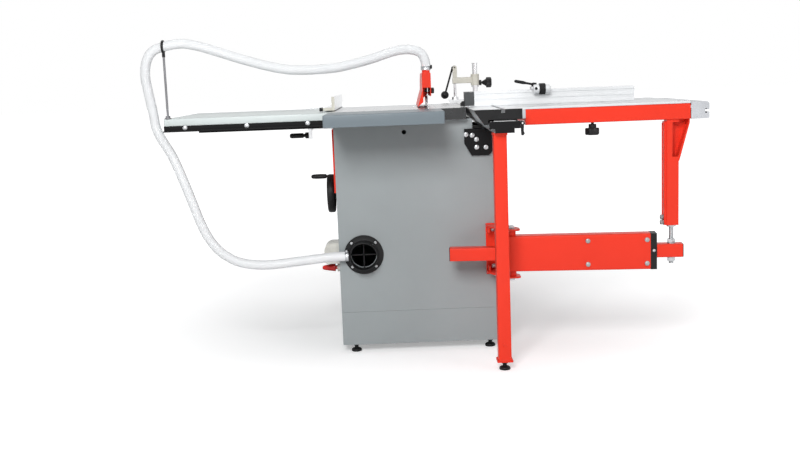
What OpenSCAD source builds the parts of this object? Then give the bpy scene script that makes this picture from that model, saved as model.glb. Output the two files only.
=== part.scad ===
// Sliding table saw seen from its outfeed end: cabinet, cast table, sliding table with
// cross-cut table on a telescopic swing arm, rip side with hose holder, guard and tilting saw unit.
// X runs right, Y runs from the outfeed end towards the operator, Z is up. Millimetres.

/* [Cabinet] */
// width of the cabinet
cab_w = 590; // [540:1:640]
// depth of the cabinet, outfeed face to operator face
cab_d = 520; // [500:1:600]
// sheet thickness of the cabinet panels
sheet = 3; // [2:0.5:4]
// height of the plinth tray below the seam
plinth_h = 123; // [90:1:160]
// height of the levelling feet
foot_h = 30; // [20:1:45]
// diameter of the levelling feet
foot_d = 38; // [30:1:50]

/* [Main table] */
// height of the table top above the floor
table_h = 884; // [850:1:920]
// blade plane to the right of the cabinet centre
blade_x = 48; // [40:1:56]
// blade plane to the left edge of the table
table_left = 348; // [343:1:380]
// blade plane to the right edge of the table
table_right = 130; // [120:1:135]
// length of the table along the cut
table_len = 640; // [620:1:700]
// overhang of the table behind the cabinet
table_over = 40; // [30:1:60]
// height of the rim under the table
rim_h = 40; // [36:1:42]
// plate thickness of the table
plate_t = 12; // [9:0.5:14]
// reach of the outfeed table behind the main table
outfeed_len = 260; // [180:1:280]
// width of the outfeed table
outfeed_w = 400; // [300:1:420]

/* [Sliding table] */
// length of the sliding table and of its rail
slide_len = 1600; // [1500:1:1800]
// width of the sliding table
slide_w = 158; // [150:1:170]
// end of the sliding table behind the cabinet
slide_back = 330; // [310:1:360]
// slit between main table and sliding table
slide_slit = 3; // [2:0.5:5]
// diameter of the guide rods
rod_d = 14; // [12:0.5:15]
// width of the square rail legs
leg_w = 44; // [36:1:50]

/* [Cross-cut table] */
// length of the red frame
frame_len = 553; // [480:1:600]
// depth of the frame along the slide
frame_d = 550; // [480:1:600]
// near face of the frame behind the cabinet
frame_back = 215; // [200:1:230]
// height of the frame tubes
frame_h = 53; // [45:1:56]
// width of the frame tubes
frame_w = 50; // [44:1:56]
// width of the aluminium end profile
end_w = 61; // [50:1:70]
// length of the cross-cut fence profile
fence_len = 576; // [480:1:640]
// height of the cross-cut fence
fence_h = 52; // [46:1:60]
// thickness of the cross-cut fence
fence_t = 35; // [30:1:40]

/* [Swing arm] */
// pivot of the arm right of the cabinet centre
pivot_x = 318; // [310:1:330]
// pivot of the arm behind the cabinet
pivot_back = 130; // [125:1:140]
// height of the arm axis above the floor
arm_z = 375; // [340:1:400]
// height of the outer box of the arm
arm_h = 125; // [115:1:135]
// length of the outer box beyond the pivot
arm_len = 473; // [440:1:500]
// size of the square inner tube
tube_w = 46; // [44:1:52]
// support screw right of the cabinet centre
post_x = 861; // [840:1:885]
// diameter of the support screw
screw_d = 16; // [14:1:24]

/* [Saw unit] */
// diameter of the saw blade
blade_d = 315; // [300:1:318]
// blade height above the table
blade_up = 85; // [76:1:88]
// thickness of the saw blade
blade_t = 3; // [2.4:0.1:3.2]
// place of the arbor from the cabinet's outfeed face
arbor_y = 270; // [262:1:276]
// diameter of the arbor shaft
arbor_d = 25; // [20:1:30]
// diameter of the motor
motor_d = 144; // [120:1:150]
// length of the motor
motor_len = 136; // [110:1:138]

/* [Guard and dust hose] */
// top of the guard hood above the table
hood_top = 128; // [120:1:140]
// outer diameter of the clear hose
hose_d = 34; // [28:1:36]
// outer diameter of the dust spigot
port_d = 101; // [90:0.5:110]
// length of the dust spigot
port_len = 55; // [45:1:60]

/* [Rip side] */
// reach of the rip extension left of the main table
ext_len = 590; // [500:1:620]
// length of the rip fence profile
rip_len = 550; // [450:1:600]
// height of the rip fence profile
rip_h = 50; // [40:1:70]

/* [Hand wheels] */
// diameter of the hand wheels
wheel_d = 148; // [130:1:160]
// height of the wheel shafts
wheel_z = 565; // [555:1:585]

/* [Hidden] */
$fn = 48;
// clearance round running fits and between faces of two bodies
run = 0.05;
gap = 0.3;

top = table_h;
plate_z = top - plate_t;
rim_z = top - rim_h;
cab_x = cab_w / 2;
cab_z = foot_h + plinth_h;

table_x0 = blade_x - table_left;
table_x1 = blade_x + table_right;
table_y0 = -table_over;
table_y1 = table_y0 + table_len;

slide_x0 = table_x1 + slide_slit;
slide_x1 = slide_x0 + slide_w;
slide_y0 = -slide_back;
slide_y1 = slide_y0 + slide_len;
slot_x = slide_x0 + 96;
notch_x = slide_x0 + 20;
notch_z = top - 89;
rod_lx = slide_x0 + 57;
rod_rx = slide_x1 - 14;
rod_z = top - 46;
rail_z = top - 78;
leg_x = slide_x0 + 88;

frame_x0 = slide_x1 + 26;
frame_x1 = frame_x0 + frame_len;
frame_y0 = -frame_back;
frame_y1 = frame_y0 + frame_d;
frame_z1 = top - 8;
frame_z0 = frame_z1 - frame_h;
end_x0 = frame_x1 + 2;
end_x1 = end_x0 + end_w;

ext_x0 = table_x0 - 3 - ext_len;
ext_top = top - 2;
rail_y = table_y1 + 6;

origin_x = (ext_x0 + end_x1) / 2;
origin_y = (slide_y0 + slide_y1) / 2;

post_y = frame_y0 + frame_w / 2 + 4;
arm_reach = norm([post_x - pivot_x, post_y + pivot_back]);
arm_yaw = atan2(post_y + pivot_back, post_x - pivot_x);
tube_u0 = -216;
tube_u1 = arm_reach + 36;
post_z = arm_z + 88;

arbor_z = blade_up - blade_d / 2;
motor_z = arbor_z - 157.5;
cradle_y0 = 46;
cradle_y1 = cab_d - 46;
hood_y0 = 62;

port_x = 90 - cab_x;
port_z = 366;
nipple_y = -23.5;
nipple_x = port_x - 85;
fence_y = 40;
fence_x0 = slide_x0 + 33;
clamp_y = 780;
clamp_x = slot_x - 87;
stop_x = 445;
rip_x = -303;
knob_x = 593;
hole_x = -43;
tilt_y = 260;
lift_x = 20;
panel_out = 16;
ring_x = ext_x0 + 14;
ring_z = top + 251;
collar_y = 95;
collar_z = top + hood_top + 33;

bracket_bolts = [[177, 787], [199, 784], [214, 769], [214, 741], [247, 740]];
rear_bolts = [-818, -599, -383];
arm_bolts = [-68, 68];
ear_gap = 18;

hose_path = [
  [nipple_x, nipple_y, port_z], [-330, -26, 365], [-420, -32, 358], [-515, -37, 350],
  [-585, -40, 350], [-650, -43, 363], [-695, -45, 387], [-730, -46, 419], [-760, -47, 465],
  [-783, -47, 520], [-803, -46, 580], [-824, -41, 640], [-868, -18, 745], [-923, 14, 835],
  [-936, 19, 905], [-945, 12, 972], [-950, 0, 1035], [-941, -5, 1085], [-919, -5, 1119],
  [ring_x, -5, ring_z], [-820, 2, 1144], [-769, 10, 1136],
  [-714, 17, 1119], [-602, 30, 1080], [-490, 42, 1048], [-410, 52, 1037], [-298, 62, 1039],
  [-225, 68, 1050], [-151, 75, 1067], [-82, 82, 1088], [-35, 88, 1096], [8, 92, 1092],
  [34, 94, 1076], [blade_x - 3, collar_y, collar_z]
];

module placed() {
  translate([-origin_x, -origin_y, 0]) children();
}

module box(x, y, z) {
  translate([x[0], y[0], z[0]]) cube([x[1] - x[0], y[1] - y[0], z[1] - z[0]]);
}

module bar_x(x, y, z, d) {
  translate([x[0], y, z]) rotate([0, 90, 0]) cylinder(d = d, h = x[1] - x[0]);
}

module bar_y(x, y, z, d) {
  translate([x, y[1], z]) rotate([90, 0, 0]) cylinder(d = d, h = y[1] - y[0]);
}

module bar_z(x, y, z, d) {
  translate([x, y, z[0]]) cylinder(d = d, h = z[1] - z[0]);
}

// an outline drawn in X and Z, run along Y
module along_y(y) {
  translate([0, y[1], 0]) rotate([90, 0, 0]) linear_extrude(y[1] - y[0]) children();
}

// an outline drawn in Y and Z, run along X
module along_x(x) {
  translate([x[0], 0, 0]) rotate([90, 0, 90]) linear_extrude(x[1] - x[0]) children();
}

// the frame of the swing arm: u along the arm from its pivot
module arm_frame() {
  translate([pivot_x, -pivot_back, 0]) rotate([0, 0, arm_yaw]) children();
}

// the frame of the saw unit: origin on the tilt axis at table height
module unit_frame() {
  translate([blade_x, 0, top]) children();
}

module hex_bolt(len) {
  rotate([90, 0, 0]) cylinder(d = 15, h = 5.5, $fn = 6);
  rotate([-90, 0, 0]) cylinder(d = 8, h = len);
}

module star_knob(d, h) {
  difference() {
    cylinder(d = d, h = h);
    for (a = [0 : 72 : 288])
      rotate([0, 0, a]) translate([d * 0.58, 0, -1]) cylinder(d = d * 0.36, h = h + 2);
    translate([0, 0, h - 2]) cylinder(d = d * 0.4, h = 3);
  }
}

// the shell of a folded panel: a plate with a return flange on both upright edges and on top
module end_sheet(y, inward, hole_at) {
  difference() {
    union() {
      along_y(y) difference() {
        polygon([[-cab_x, cab_z], [cab_x, cab_z], [cab_x, notch_z], [notch_x, notch_z],
          [notch_x, rim_z], [-cab_x, rim_z]]);
        translate(hole_at) circle(d = 16);
      }
      for (s = [-1, 1]) {
        x = s * (cab_x - sheet - gap - sheet / 2);
        box([x - sheet / 2, x + sheet / 2], inward, [cab_z, notch_z - 4]);
      }
      box([-cab_x + 2 * sheet + 2, notch_x - 6], inward, [rim_z - sheet, rim_z]);
    }
  }
}

// rear sheet of the cabinet with the barred dust outlet and a small cable hole
module rear_panel() color("slategray") placed() {
  difference() {
    end_sheet([0, sheet], [sheet, 25], [hole_x, 804]);
    bar_y(port_x, [-1, 30], port_z, port_d - 10);
  }
  box([port_x - 1.5, port_x + 1.5], [0, sheet], [port_z - port_d / 2 + 4, port_z + port_d / 2 - 4]);
  box([port_x - port_d / 2 + 4, port_x + port_d / 2 - 4], [0, sheet], [port_z - 1.5, port_z + 1.5]);
}

// operator side sheet with the hole of the lift shaft
module front_panel() color("slategray") placed() {
  difference() {
    end_sheet([cab_d - sheet, cab_d], [cab_d - 25, cab_d - sheet], [hole_x, 804]);
    bar_y(lift_x, [cab_d - 30, cab_d + 1], wheel_z + 40, 20 + 2 * run);
  }
}

// left and right cabinet walls; the right one steps in under the sliding table's rail
module side_panels() color("slategray") placed() {
  difference() {
    box([-cab_x, -cab_x + sheet], [sheet, cab_d - sheet], [cab_z, rim_z]);
    bar_x([-cab_x - 1, -cab_x + sheet + 1], tilt_y, wheel_z, 20 + 2 * run);
  }
  box([cab_x - sheet, cab_x], [sheet, cab_d - sheet], [cab_z, notch_z]);
  box([notch_x - 3, cab_x], [26, cab_d - 26], [notch_z - sheet, notch_z]);
  box([notch_x - 3, notch_x], [26, cab_d - 26], [notch_z, rim_z - sheet]);
}

// base tray under the seam: four walls, a floor and an inward lip that carries the panels
module plinth() color("dimgray") placed() {
  difference() {
    box([-cab_x, cab_x], [0, cab_d], [foot_h, cab_z - gap]);
    box([-cab_x + sheet, cab_x - sheet], [sheet, cab_d - sheet], [foot_h + 6, cab_z - sheet - gap]);
    box([-cab_x + 34, cab_x - 34], [34, cab_d - 34], [cab_z - 10, cab_z + 1]);
  }
}

// six equal screw feet: four under the cabinet, one under each rail leg
module levelling_feet() color("black") placed() {
  for (x = [-cab_x + 47, cab_x - 47], y = [30, cab_d - 30]) foot(x, y);
  for (y = [slide_y0 + 52, slide_y1 - 52]) foot(leg_x, y);
}

module foot(x, y) {
  translate([x, y, 0]) rotate_extrude()
    polygon([[0, 0], [foot_d / 2, 0], [foot_d / 2, 7], [foot_d / 2 - 4, 11], [7, 13], [7, foot_h],
      [0, foot_h]]);
}

// cast table: plate, rim, ribs, bosses on the cabinet and the throat with its seat for the insert
module main_table() color("silver") placed() {
  difference() {
    box([table_x0, table_x1], [table_y0, table_y1], [rim_z, top]);
    box([blade_x - 150, table_x1 - 14], [table_y0 + 14, table_y1 - 14], [rim_z - 1, plate_z]);
    for (i = [0 : 3]) {
      y = table_y0 + 14 + i * (table_len - 18) / 4;
      box([table_x0 + 14, blade_x - 162], [y, y + (table_len - 18) / 4 - 10], [rim_z - 1, plate_z]);
    }
    box([blade_x - 40, blade_x + 20], [60, arbor_y + 165], [plate_z - 1, top + 1]);
    box([blade_x - 48, blade_x + 28], [52, arbor_y + 173], [top - 4, top + 1]);
  }
  for (x = [blade_x - 110, blade_x + 90], y = [14, cab_d - 14]) bar_z(x, y, [rim_z, plate_z + 1], 20);
}

// thin plate round the blade, with the slot wide enough for a blade leaning over
module table_insert() color("lightgray") placed() {
  difference() {
    box([blade_x - 48 + gap, blade_x + 28 - gap], [52 + gap, arbor_y + 173 - gap], [top - 4, top - 0.2]);
    box([blade_x - 7, blade_x + 3.6], [58, arbor_y + 160], [top - 5, top + 1]);
    for (x = [blade_x - 42, blade_x + 22], y = [80, arbor_y + 150]) bar_z(x, y, [top - 5, top + 1], 5);
  }
}

// curved tilt guides under the table: an arc slot about the tilt axis in each
module trunnions() color("dimgray") placed() {
  trunnion([34, 46]);
  trunnion([cab_d - 46, cab_d - 34]);
}

module trunnion(y) {
  unit_frame() along_y(y) difference() {
    union() {
      arc_band(104, 144, -38, 80);
      polygon([[-150, -plate_t], [-100, -plate_t], [-96, -44], [-126, -66], [-146, -34]]);
      polygon([[76, -plate_t], [112, -plate_t], [112, -60], [92, -96], [68, -82]]);
    }
    arc_band(119.7, 128.3, -34, 78);
  }
}

// a band about the origin between two radii; angles count from straight down towards the left
module arc_band(r0, r1, a0, a1) {
  reach = 2 * r1;
  steps = ceil((a1 - a0) / 30);
  fan = [for (i = [0 : steps]) let (a = a0 + (a1 - a0) * i / steps) [-reach * sin(a), -reach * cos(a)]];
  intersection() {
    difference() {
      circle(r = r1, $fn = 96);
      circle(r = r0, $fn = 96);
    }
    polygon(concat([[0, 0]], fan));
  }
}

// folded grey sheet behind the main table
module outfeed_table() color("slategray") placed() {
  x0 = table_x0 - 10;
  y0 = table_y0 - outfeed_len;
  difference() {
    box([x0, x0 + outfeed_w], [y0, table_y0], [top - 42, top]);
    box([x0 + 3, x0 + outfeed_w - 3], [y0 + 3, table_y0 - 3], [top - 39, top - 3]);
    box([x0 + 16, x0 + outfeed_w - 16], [y0 + 16, table_y0 - 3], [top - 43, top - 38]);
  }
}

// folded sheet table on the rip side, deep flanges all round
module rip_extension() color("gainsboro") placed() {
  x1 = table_x0;
  difference() {
    box([ext_x0, x1], [-15, table_y1], [top - 48, ext_top]);
    box([ext_x0 + 3, x1 - 3], [-12, table_y1 - 3], [top - 49, ext_top - 3]);
  }
}

// black angle bar along the rear of the rip extension
module rear_rail() color("black") placed() {
  difference() {
    union() {
      box([ext_x0, table_x0 - 4], [-20, -15], [top - 48, top - 27]);
      box([ext_x0, table_x0 - 4], [-38, -20], [top - 48, top - 44]);
    }
    for (x = rear_bolts) bar_y(x, [-21, -14], top - 35, 8.4);
  }
}

// rail tube of the rip fence with its lugs on the tables
module front_rail() color("black") placed() {
  difference() {
    box([ext_x0, table_x1], [rail_y, rail_y + 40], [top - 84, top - 34]);
    box([ext_x0 - 1, table_x1 + 1], [rail_y + 3, rail_y + 37], [top - 81, top - 37]);
  }
  for (x = [ext_x0 + 60, ext_x0 + 340, table_x0 + 60, table_x1 - 60])
    box([x - 20, x + 20], [table_y1, rail_y], [top - 80, top - 6]);
}

// bright bolts, port screws, the hose clamp and the two stub pins of the swing arm
module fasteners() color("silver") placed() {
  for (x = rear_bolts) translate([x, -20, top - 35]) hex_bolt(4);
  for (b = bracket_bolts) translate([b[0], -10, b[1]]) hex_bolt(5);
  for (d = arm_bolts) translate([266, -6, arm_z + d]) hex_bolt(4);
  for (a = [45 : 90 : 315]) translate([port_x + 61 * cos(a), -5, port_z + 61 * sin(a)]) port_screw();
  difference() {
    bar_x([port_x - 67, port_x - 54], nipple_y, port_z, 35);
    bar_x([port_x - 68, port_x - 53], nipple_y, port_z, 28.2);
  }
  box([port_x - 66, port_x - 55], [nipple_y - 5, nipple_y + 5], [port_z + 17, port_z + 25]);
  arm_pin(arm_z + arm_h / 2 - 8, 1);
  arm_pin(arm_z - arm_h / 2 + 8, -1);
}

module port_screw() {
  rotate([90, 0, 0]) rotate_extrude() polygon([[0, -3], [2.5, -3], [2.5, 0], [5.5, 0], [4.8, 2.4], [0, 3.4]]);
}

// stub pin through one ear of the arm bracket into the wall of the arm box
module arm_pin(z, s) {
  translate([pivot_x, -pivot_back, z]) mirror([0, 0, s > 0 ? 0 : 1]) {
    cylinder(d = 16, h = ear_gap + 20);
    translate([0, 0, ear_gap + 14]) cylinder(d = 24, h = 3);
    translate([0, 0, ear_gap + 17]) cylinder(d = 20, h = 8, $fn = 6);
  }
}

// red cover on the left wall over the tilt gear, with the arc of the tilt scale
module tilt_panel() color("red") placed() {
  difference() {
    box([-cab_x - panel_out, -cab_x], [150, 400], [wheel_z + 12, wheel_z + 250]);
    box([-cab_x - panel_out + 3, -cab_x + 1], [153, 397], [wheel_z + 15, wheel_z + 247]);
    translate([-cab_x - panel_out - 1, tilt_y, wheel_z + 70]) rotate([90, 0, 90])
      linear_extrude(6) rotate([0, 0, 180]) arc_band(118, 128, -42, 42);
  }
}

// black brackets on the cabinet ends with a shelf under the rail, and the rail's end plate
module slide_brackets() color("black") placed() {
  difference() {
    slide_bracket();
    for (b = bracket_bolts) bar_y(b[0], [-11, -3], b[1], 8.4);
  }
  translate([0, cab_d, 0]) mirror([0, 1, 0]) slide_bracket();
  along_y([slide_y0 - 5, slide_y0])
    polygon([[rail_x0() + 4, rail_z], [rail_x1() - 4, rail_z], [rail_x1() - 4, rail_z + 14],
      [rod_rx + 7, rail_z + 14], [rod_rx + 7, top - 40], [rod_lx - 7, top - 40], [rod_lx - 7, rail_z + 14],
      [rail_x0() + 4, rail_z + 14]]);
}

module slide_bracket() {
  along_y([-10, 0])
    polygon([[171, 755], [171, 807], [notch_x - 1, 807], [rail_x0() + 4, rail_z], [270, rail_z], [270, 725],
      [258, 711], [196, 711]]);
  box([rail_x0() + 4, rail_x1() - 4], [-60, 20], [rail_z - 9, rail_z]);
}

function rail_x0() = rod_lx + 8;
function rail_x1() = rod_rx - 8;

// fixed aluminium rail with seats for the guide rods and the lug of the lock lever
module slide_rail() color("silver") placed() {
  difference() {
    union() {
      along_y([slide_y0, slide_y1]) difference() {
        polygon([[rail_x0() + 4, rail_z], [rail_x1() - 4, rail_z], [rail_x1() - 4, rail_z + 14],
          [rod_rx + 7, rail_z + 14], [rod_rx + 7, rod_z - 5], [rail_x1(), rod_z - 5], [rail_x1(), top - 38],
          [rail_x0(), top - 38], [rail_x0(), rod_z - 5], [rod_lx - 7, rod_z - 5], [rod_lx - 7, rail_z + 14],
          [rail_x0() + 4, rail_z + 14]]);
        for (x = [rail_x0() + 8, leg_x + 15]) translate([x, rail_z + 5]) square([24, 28]);
      }
      box([rod_rx + 5, rod_rx + 22], [slide_y0 + 22, slide_y0 + 28], [rail_z + 14, rod_z - 5]);
      box([rod_rx + 8, rod_rx + 22], [slide_y0 + 22, slide_y0 + 28], [rail_z + 14, rod_z + 5]);
      bar_y(rod_rx + 15, [slide_y0 + 4, slide_y0 + 23], rod_z - 2, 6);
    }
    for (x = [rod_lx, rod_rx]) bar_y(x, [slide_y0 - 1, slide_y1 + 1], rod_z, rod_d + 2 * run);
  }
}

module guide_rods() color("lightgray") placed() {
  for (x = [rod_lx, rod_rx]) bar_y(x, [slide_y0, slide_y1], rod_z, rod_d);
}

// square legs under both ends of the rail, with head and foot plates
module rail_legs() color("red") placed() {
  for (y = [slide_y0 + 30, slide_y1 - 30 - leg_w]) {
    difference() {
      box([leg_x - leg_w / 2, leg_x + leg_w / 2], [y, y + leg_w], [foot_h + 4, rail_z - 5]);
      box([leg_x - leg_w / 2 + 3, leg_x + leg_w / 2 - 3], [y + 3, y + leg_w - 3], [foot_h + 12, rail_z - 12]);
      bar_y(leg_x, [y - 1, y + 5], foot_h + 60, 9);
    }
    box([leg_x - 27, leg_x + 27], [y - 5, y + leg_w + 5], [foot_h, foot_h + 6]);
    box([leg_x - 24, leg_x + 24], [y - 2, y + leg_w + 2], [rail_z - 6, rail_z]);
  }
}

// dust outlet: flange, stepped spigot and the side nipple of the guard hose
module dust_port() color("black") placed() {
  difference() {
    union() {
      bar_y(port_x, [-5, 0], port_z, 143);
      bar_y(port_x, [-38, -4], port_z, port_d + 4);
      bar_y(port_x, [-port_len, -37], port_z, port_d);
      bar_x([nipple_x, port_x - 46], nipple_y, port_z, 28);
    }
    bar_y(port_x, [-port_len - 1, 1], port_z, port_d - 6);
    bar_x([nipple_x - 1, port_x - 45], nipple_y, port_z, 22);
    for (a = [45 : 90 : 315])
      bar_y(port_x + 61 * cos(a), [-6, 1], port_z + 61 * sin(a), 5.4);
  }
}

// upright that holds the hose over the rip side
module hose_rod() color("silver") placed() {
  bar_z(ring_x, -5, [ext_top, ring_z - 27], 8);
  bar_z(ring_x, -5, [ext_top, ext_top + 4], 24);
  translate([ring_x, -5, ext_top + 4]) cylinder(d = 17, h = 7, $fn = 6);
}

// black ring the hose runs through
module hose_ring() color("black") placed() {
  difference() {
    union() {
      translate([ring_x, -5, ring_z]) rotate([0, 90, 0]) rotate_extrude()
        polygon([[hose_d / 2 + 2.5, -4], [hose_d / 2 + 5, -4], [hose_d / 2 + 6.5, -2], [hose_d / 2 + 6.5, 2],
          [hose_d / 2 + 5, 4], [hose_d / 2 + 2.5, 4]]);
      bar_z(ring_x, -5, [ring_z - 36, ring_z - hose_d / 2 - 5], 11);
    }
    bar_z(ring_x, -5, [ring_z - 37, ring_z - 27], 8 + 2 * run);
  }
}

// clear hose from the port nipple over the ring to the guard, swept along its route
module guard_hose() color("white") placed() {
  steps = 2;
  sides = 10;
  n = len(hose_path);
  line = [for (i = [0 : n - 2], k = [0 : steps - 1]) spline_at(i, k / steps), hose_path[n - 1]];
  rings = len(line);
  pts = [for (i = [0 : rings - 1]) each ring_at(line, i, rings, sides)];
  caps = [
    [for (k = [0 : sides - 1]) k],
    [for (k = [sides - 1 : -1 : 0]) (rings - 1) * sides + k]
  ];
  walls = [
    for (i = [0 : rings - 2], k = [0 : sides - 1])
      let (a = i * sides + k, b = i * sides + (k + 1) % sides)
      each [[a, a + sides, b], [b, a + sides, b + sides]]
  ];
  polyhedron(points = pts, faces = concat(caps, walls));
}

// smooth curve through the route points
function route(i) = hose_path[min(max(i, 0), len(hose_path) - 1)];
function spline_at(i, t) =
  let (a = route(i - 1), b = route(i), c = route(i + 1), d = route(i + 2))
  0.5 * (2 * b + (c - a) * t + (2 * a - 5 * b + 4 * c - d) * t * t + (3 * b - a - 3 * c + d) * t * t * t);

function heading(line, i, rings) =
  i == 0 ? [-1, 0, 0] :
  i == rings - 1 ? [0, 0, -1] :
  let (d = line[i + 1] - line[i - 1]) d / norm(d);

function ring_at(line, i, rings, sides) =
  let (t = heading(line, i, rings))
  let (c = cross(t, [0, 1, 0]))
  let (u = c / norm(c))
  let (v = cross(u, t))
  [for (k = [0 : sides - 1]) let (a = 360 * k / sides) line[i] + hose_d / 2 * (cos(a) * u + sin(a) * v)];

// red welded bracket on the cabinet: back plate and two ears round the arm box
module arm_bracket() color("red") placed() {
  difference() {
    union() {
      box([239, 290], [-6, 0], [arm_z - 97, arm_z + 89]);
      ear(arm_z + arm_h / 2 + ear_gap);
      ear(arm_z - arm_h / 2 - ear_gap - 6);
      for (z = [arm_z + arm_h / 2 + ear_gap - 20, arm_z - arm_h / 2 - ear_gap])
        box([244, 250], [-50, -5], [z, z + 20]);
    }
    for (d = arm_bolts) bar_y(266, [-7, 1], arm_z + d, 8.4);
    bar_z(pivot_x, -pivot_back, [arm_z - 120, arm_z + 120], 16 + 2 * run);
  }
}

module ear(z) {
  translate([0, 0, z]) linear_extrude(6)
    polygon([[239, 0], [239, -44], [pivot_x - 26, -pivot_back - 18], [pivot_x - 14, -pivot_back - 28],
      [pivot_x + 18, -pivot_back - 28], [pivot_x + 28, -pivot_back - 18], [pivot_x + 28, -pivot_back + 16],
      [290, 0]]);
}

// pale housing on the left wall: back plate, button collar and the rounded rain hood
module switch_box() color("beige") placed() {
  difference() {
    union() {
      box([-cab_x - 8, -cab_x], [180, 280], [258, 384]);
      bar_x([-cab_x - 22, -cab_x - 4], 230, 280, 34);
      along_y([184, 276]) rounded_hood();
    }
    along_y([188, 272]) hood_hollow();
    bar_x([-cab_x - 24, -cab_x - 3], 230, 280, 16 + 2 * run);
  }
}

module rounded_hood() {
  arc = [for (a = [0 : 10 : 90]) [-cab_x - 38 - 30 * cos(a), 352 + 30 * sin(a)]];
  polygon(concat([[-cab_x - 6, 302], [-cab_x - 60, 302], [-cab_x - 68, 310]], arc, [[-cab_x - 6, 382]]));
}

module hood_hollow() {
  arc = [for (a = [0 : 10 : 90]) [-cab_x - 38 - 26 * cos(a), 352 + 26 * sin(a)]];
  polygon(concat([[-cab_x - 8, 301], [-cab_x - 64, 301]], arc, [[-cab_x - 8, 378]]));
}

// red bullet-shaped button on a round stem
module stop_button() color("red") placed() {
  translate([-cab_x - 10, 230, 280]) rotate([0, -90, 0]) rotate_extrude()
    polygon([[0, 0], [8, 0], [8, 20], [15.5, 20], [15.5, 30], [14.5, 52], [13, 63], [9, 69], [4, 71],
      [0, 71.2]]);
}

// spoked hand wheel with a turning-type grip; its own axis is Z, the panel face is at zero
module handwheel(reach) {
  r = wheel_d / 2;
  difference() {
    union() {
      translate([0, 0, -reach]) cylinder(d = 20, h = reach + 5);
      translate([0, 0, gap]) cylinder(d = 40, h = 27);
      rotate_extrude()
        polygon([[r - 13, 7], [r - 10, 4], [r - 4, 4], [r, 9], [r, 27], [r - 4, 32], [r - 10, 32],
          [r - 13, 29]]);
      for (a = [30 : 120 : 270])
        rotate([0, 0, a]) translate([0, -8, 9]) cube([r - 11, 16, 15]);
    }
    translate([0, 0, 21]) cylinder(d = 12, h = 10);
  }
  translate([0, r - 7, 30]) rotate_extrude()
    polygon([[0, 0], [5, 0], [5, 5], [8, 6], [9.25, 24], [9.25, 50], [7, 60], [3, 63], [0, 63.5]]);
}

module tilt_handwheel() color("black") placed() {
  translate([-cab_x - panel_out, tilt_y, wheel_z]) rotate([0, 0, 180]) rotate([90, 0, 90])
    handwheel(panel_out + 31);
}

module lift_handwheel() color("black") placed() {
  translate([lift_x, cab_d, wheel_z + 40]) rotate([0, 0, 180]) rotate([90, 0, 0]) handwheel(30);
}

// small lever that locks the slide on its rail
module lock_lever() color("black") placed() {
  x = rod_rx + 15;
  z = rod_z - 2;
  difference() {
    union() {
      bar_y(x, [slide_y0 + 6, slide_y0 + 22 - gap], z, 14);
      along_y([slide_y0 + 8, slide_y0 + 20])
        polygon([[x - 5, z], [x + 5, z], [x + 4, z - 26], [x + 7, z - 34], [x + 3, z - 40], [x - 3, z - 40],
          [x - 4, z - 26]]);
    }
    bar_y(x, [slide_y0, slide_y0 + 23], z, 6 + 2 * run);
  }
}

// aluminium sliding table with its T-slot, the slanted left lip and the right wall
module sliding_table() color("silver") placed() {
  along_y([slide_y0, slide_y1])
    polygon([[slide_x0, top], [slot_x - 6, top], [slot_x - 6, top - 6], [slot_x - 11, top - 6],
      [slot_x - 11, top - 14], [slot_x + 11, top - 14], [slot_x + 11, top - 6], [slot_x + 6, top - 6],
      [slot_x + 6, top], [slide_x1, top], [slide_x1, top - 34], [slide_x1 - 6, top - 34],
      [slide_x1 - 6, top - 8], [slot_x + 16, top - 8], [slot_x + 16, top - 19], [slot_x - 16, top - 19],
      [slot_x - 16, top - 8], [rod_lx - 11, top - 8], [rod_lx - 11, top - 50], [rod_lx - 23, top - 50]]);
}

// black end caps of the slide and the six bearing shoes that run on the guide rods
module slide_fittings() color("black") placed() {
  for (y = [slide_y0 - 5, slide_y1])
    along_y([y, y + 5]) difference() {
      polygon([[slide_x0, top - 0.5], [slide_x1, top - 0.5], [slide_x1, top - 34], [rod_lx - 10, top - 34],
        [rod_lx - 11, top - 50], [rod_lx - 23, top - 50]]);
      translate([slot_x - 6, top - 12]) square([12, 13]);
    }
  difference() {
    for (y = [slide_y0 + 80, slide_y0 + 420, slide_y0 + 760]) {
      box([rod_lx - 9, rod_lx + 7], [y, y + 60], [rod_z + 2, top - 8]);
      box([rod_rx - 7, rod_rx + 7.5], [y, y + 60], [rod_z + 2, top - 8]);
    }
    for (x = [rod_lx, rod_rx]) bar_y(x, [slide_y0 - 1, slide_y1 + 1], rod_z, rod_d + 2 * gap);
  }
}

// red welded frame of the cross-cut table
module crosscut_frame() color("red") placed() {
  difference() {
    union() {
      for (y = [frame_y0, frame_y1 - frame_w])
        box([frame_x0, frame_x1], [y, y + frame_w], [frame_z0, frame_z1]);
      for (x = [frame_x0, frame_x1 - 40])
        box([x, x + 40], [frame_y0 + 4, frame_y1 - 4], [frame_z0, frame_z1]);
    }
    for (y = [frame_y0, frame_y1 - frame_w])
      box([frame_x0 - 1, frame_x1 + 1], [y + 3, y + frame_w - 3], [frame_z0 + 3, frame_z1 - 3]);
    bar_z(knob_x, frame_y0 + frame_w / 2, [frame_z0 - 1, frame_z0 + 4], 10 + 2 * run);
  }
}

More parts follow.
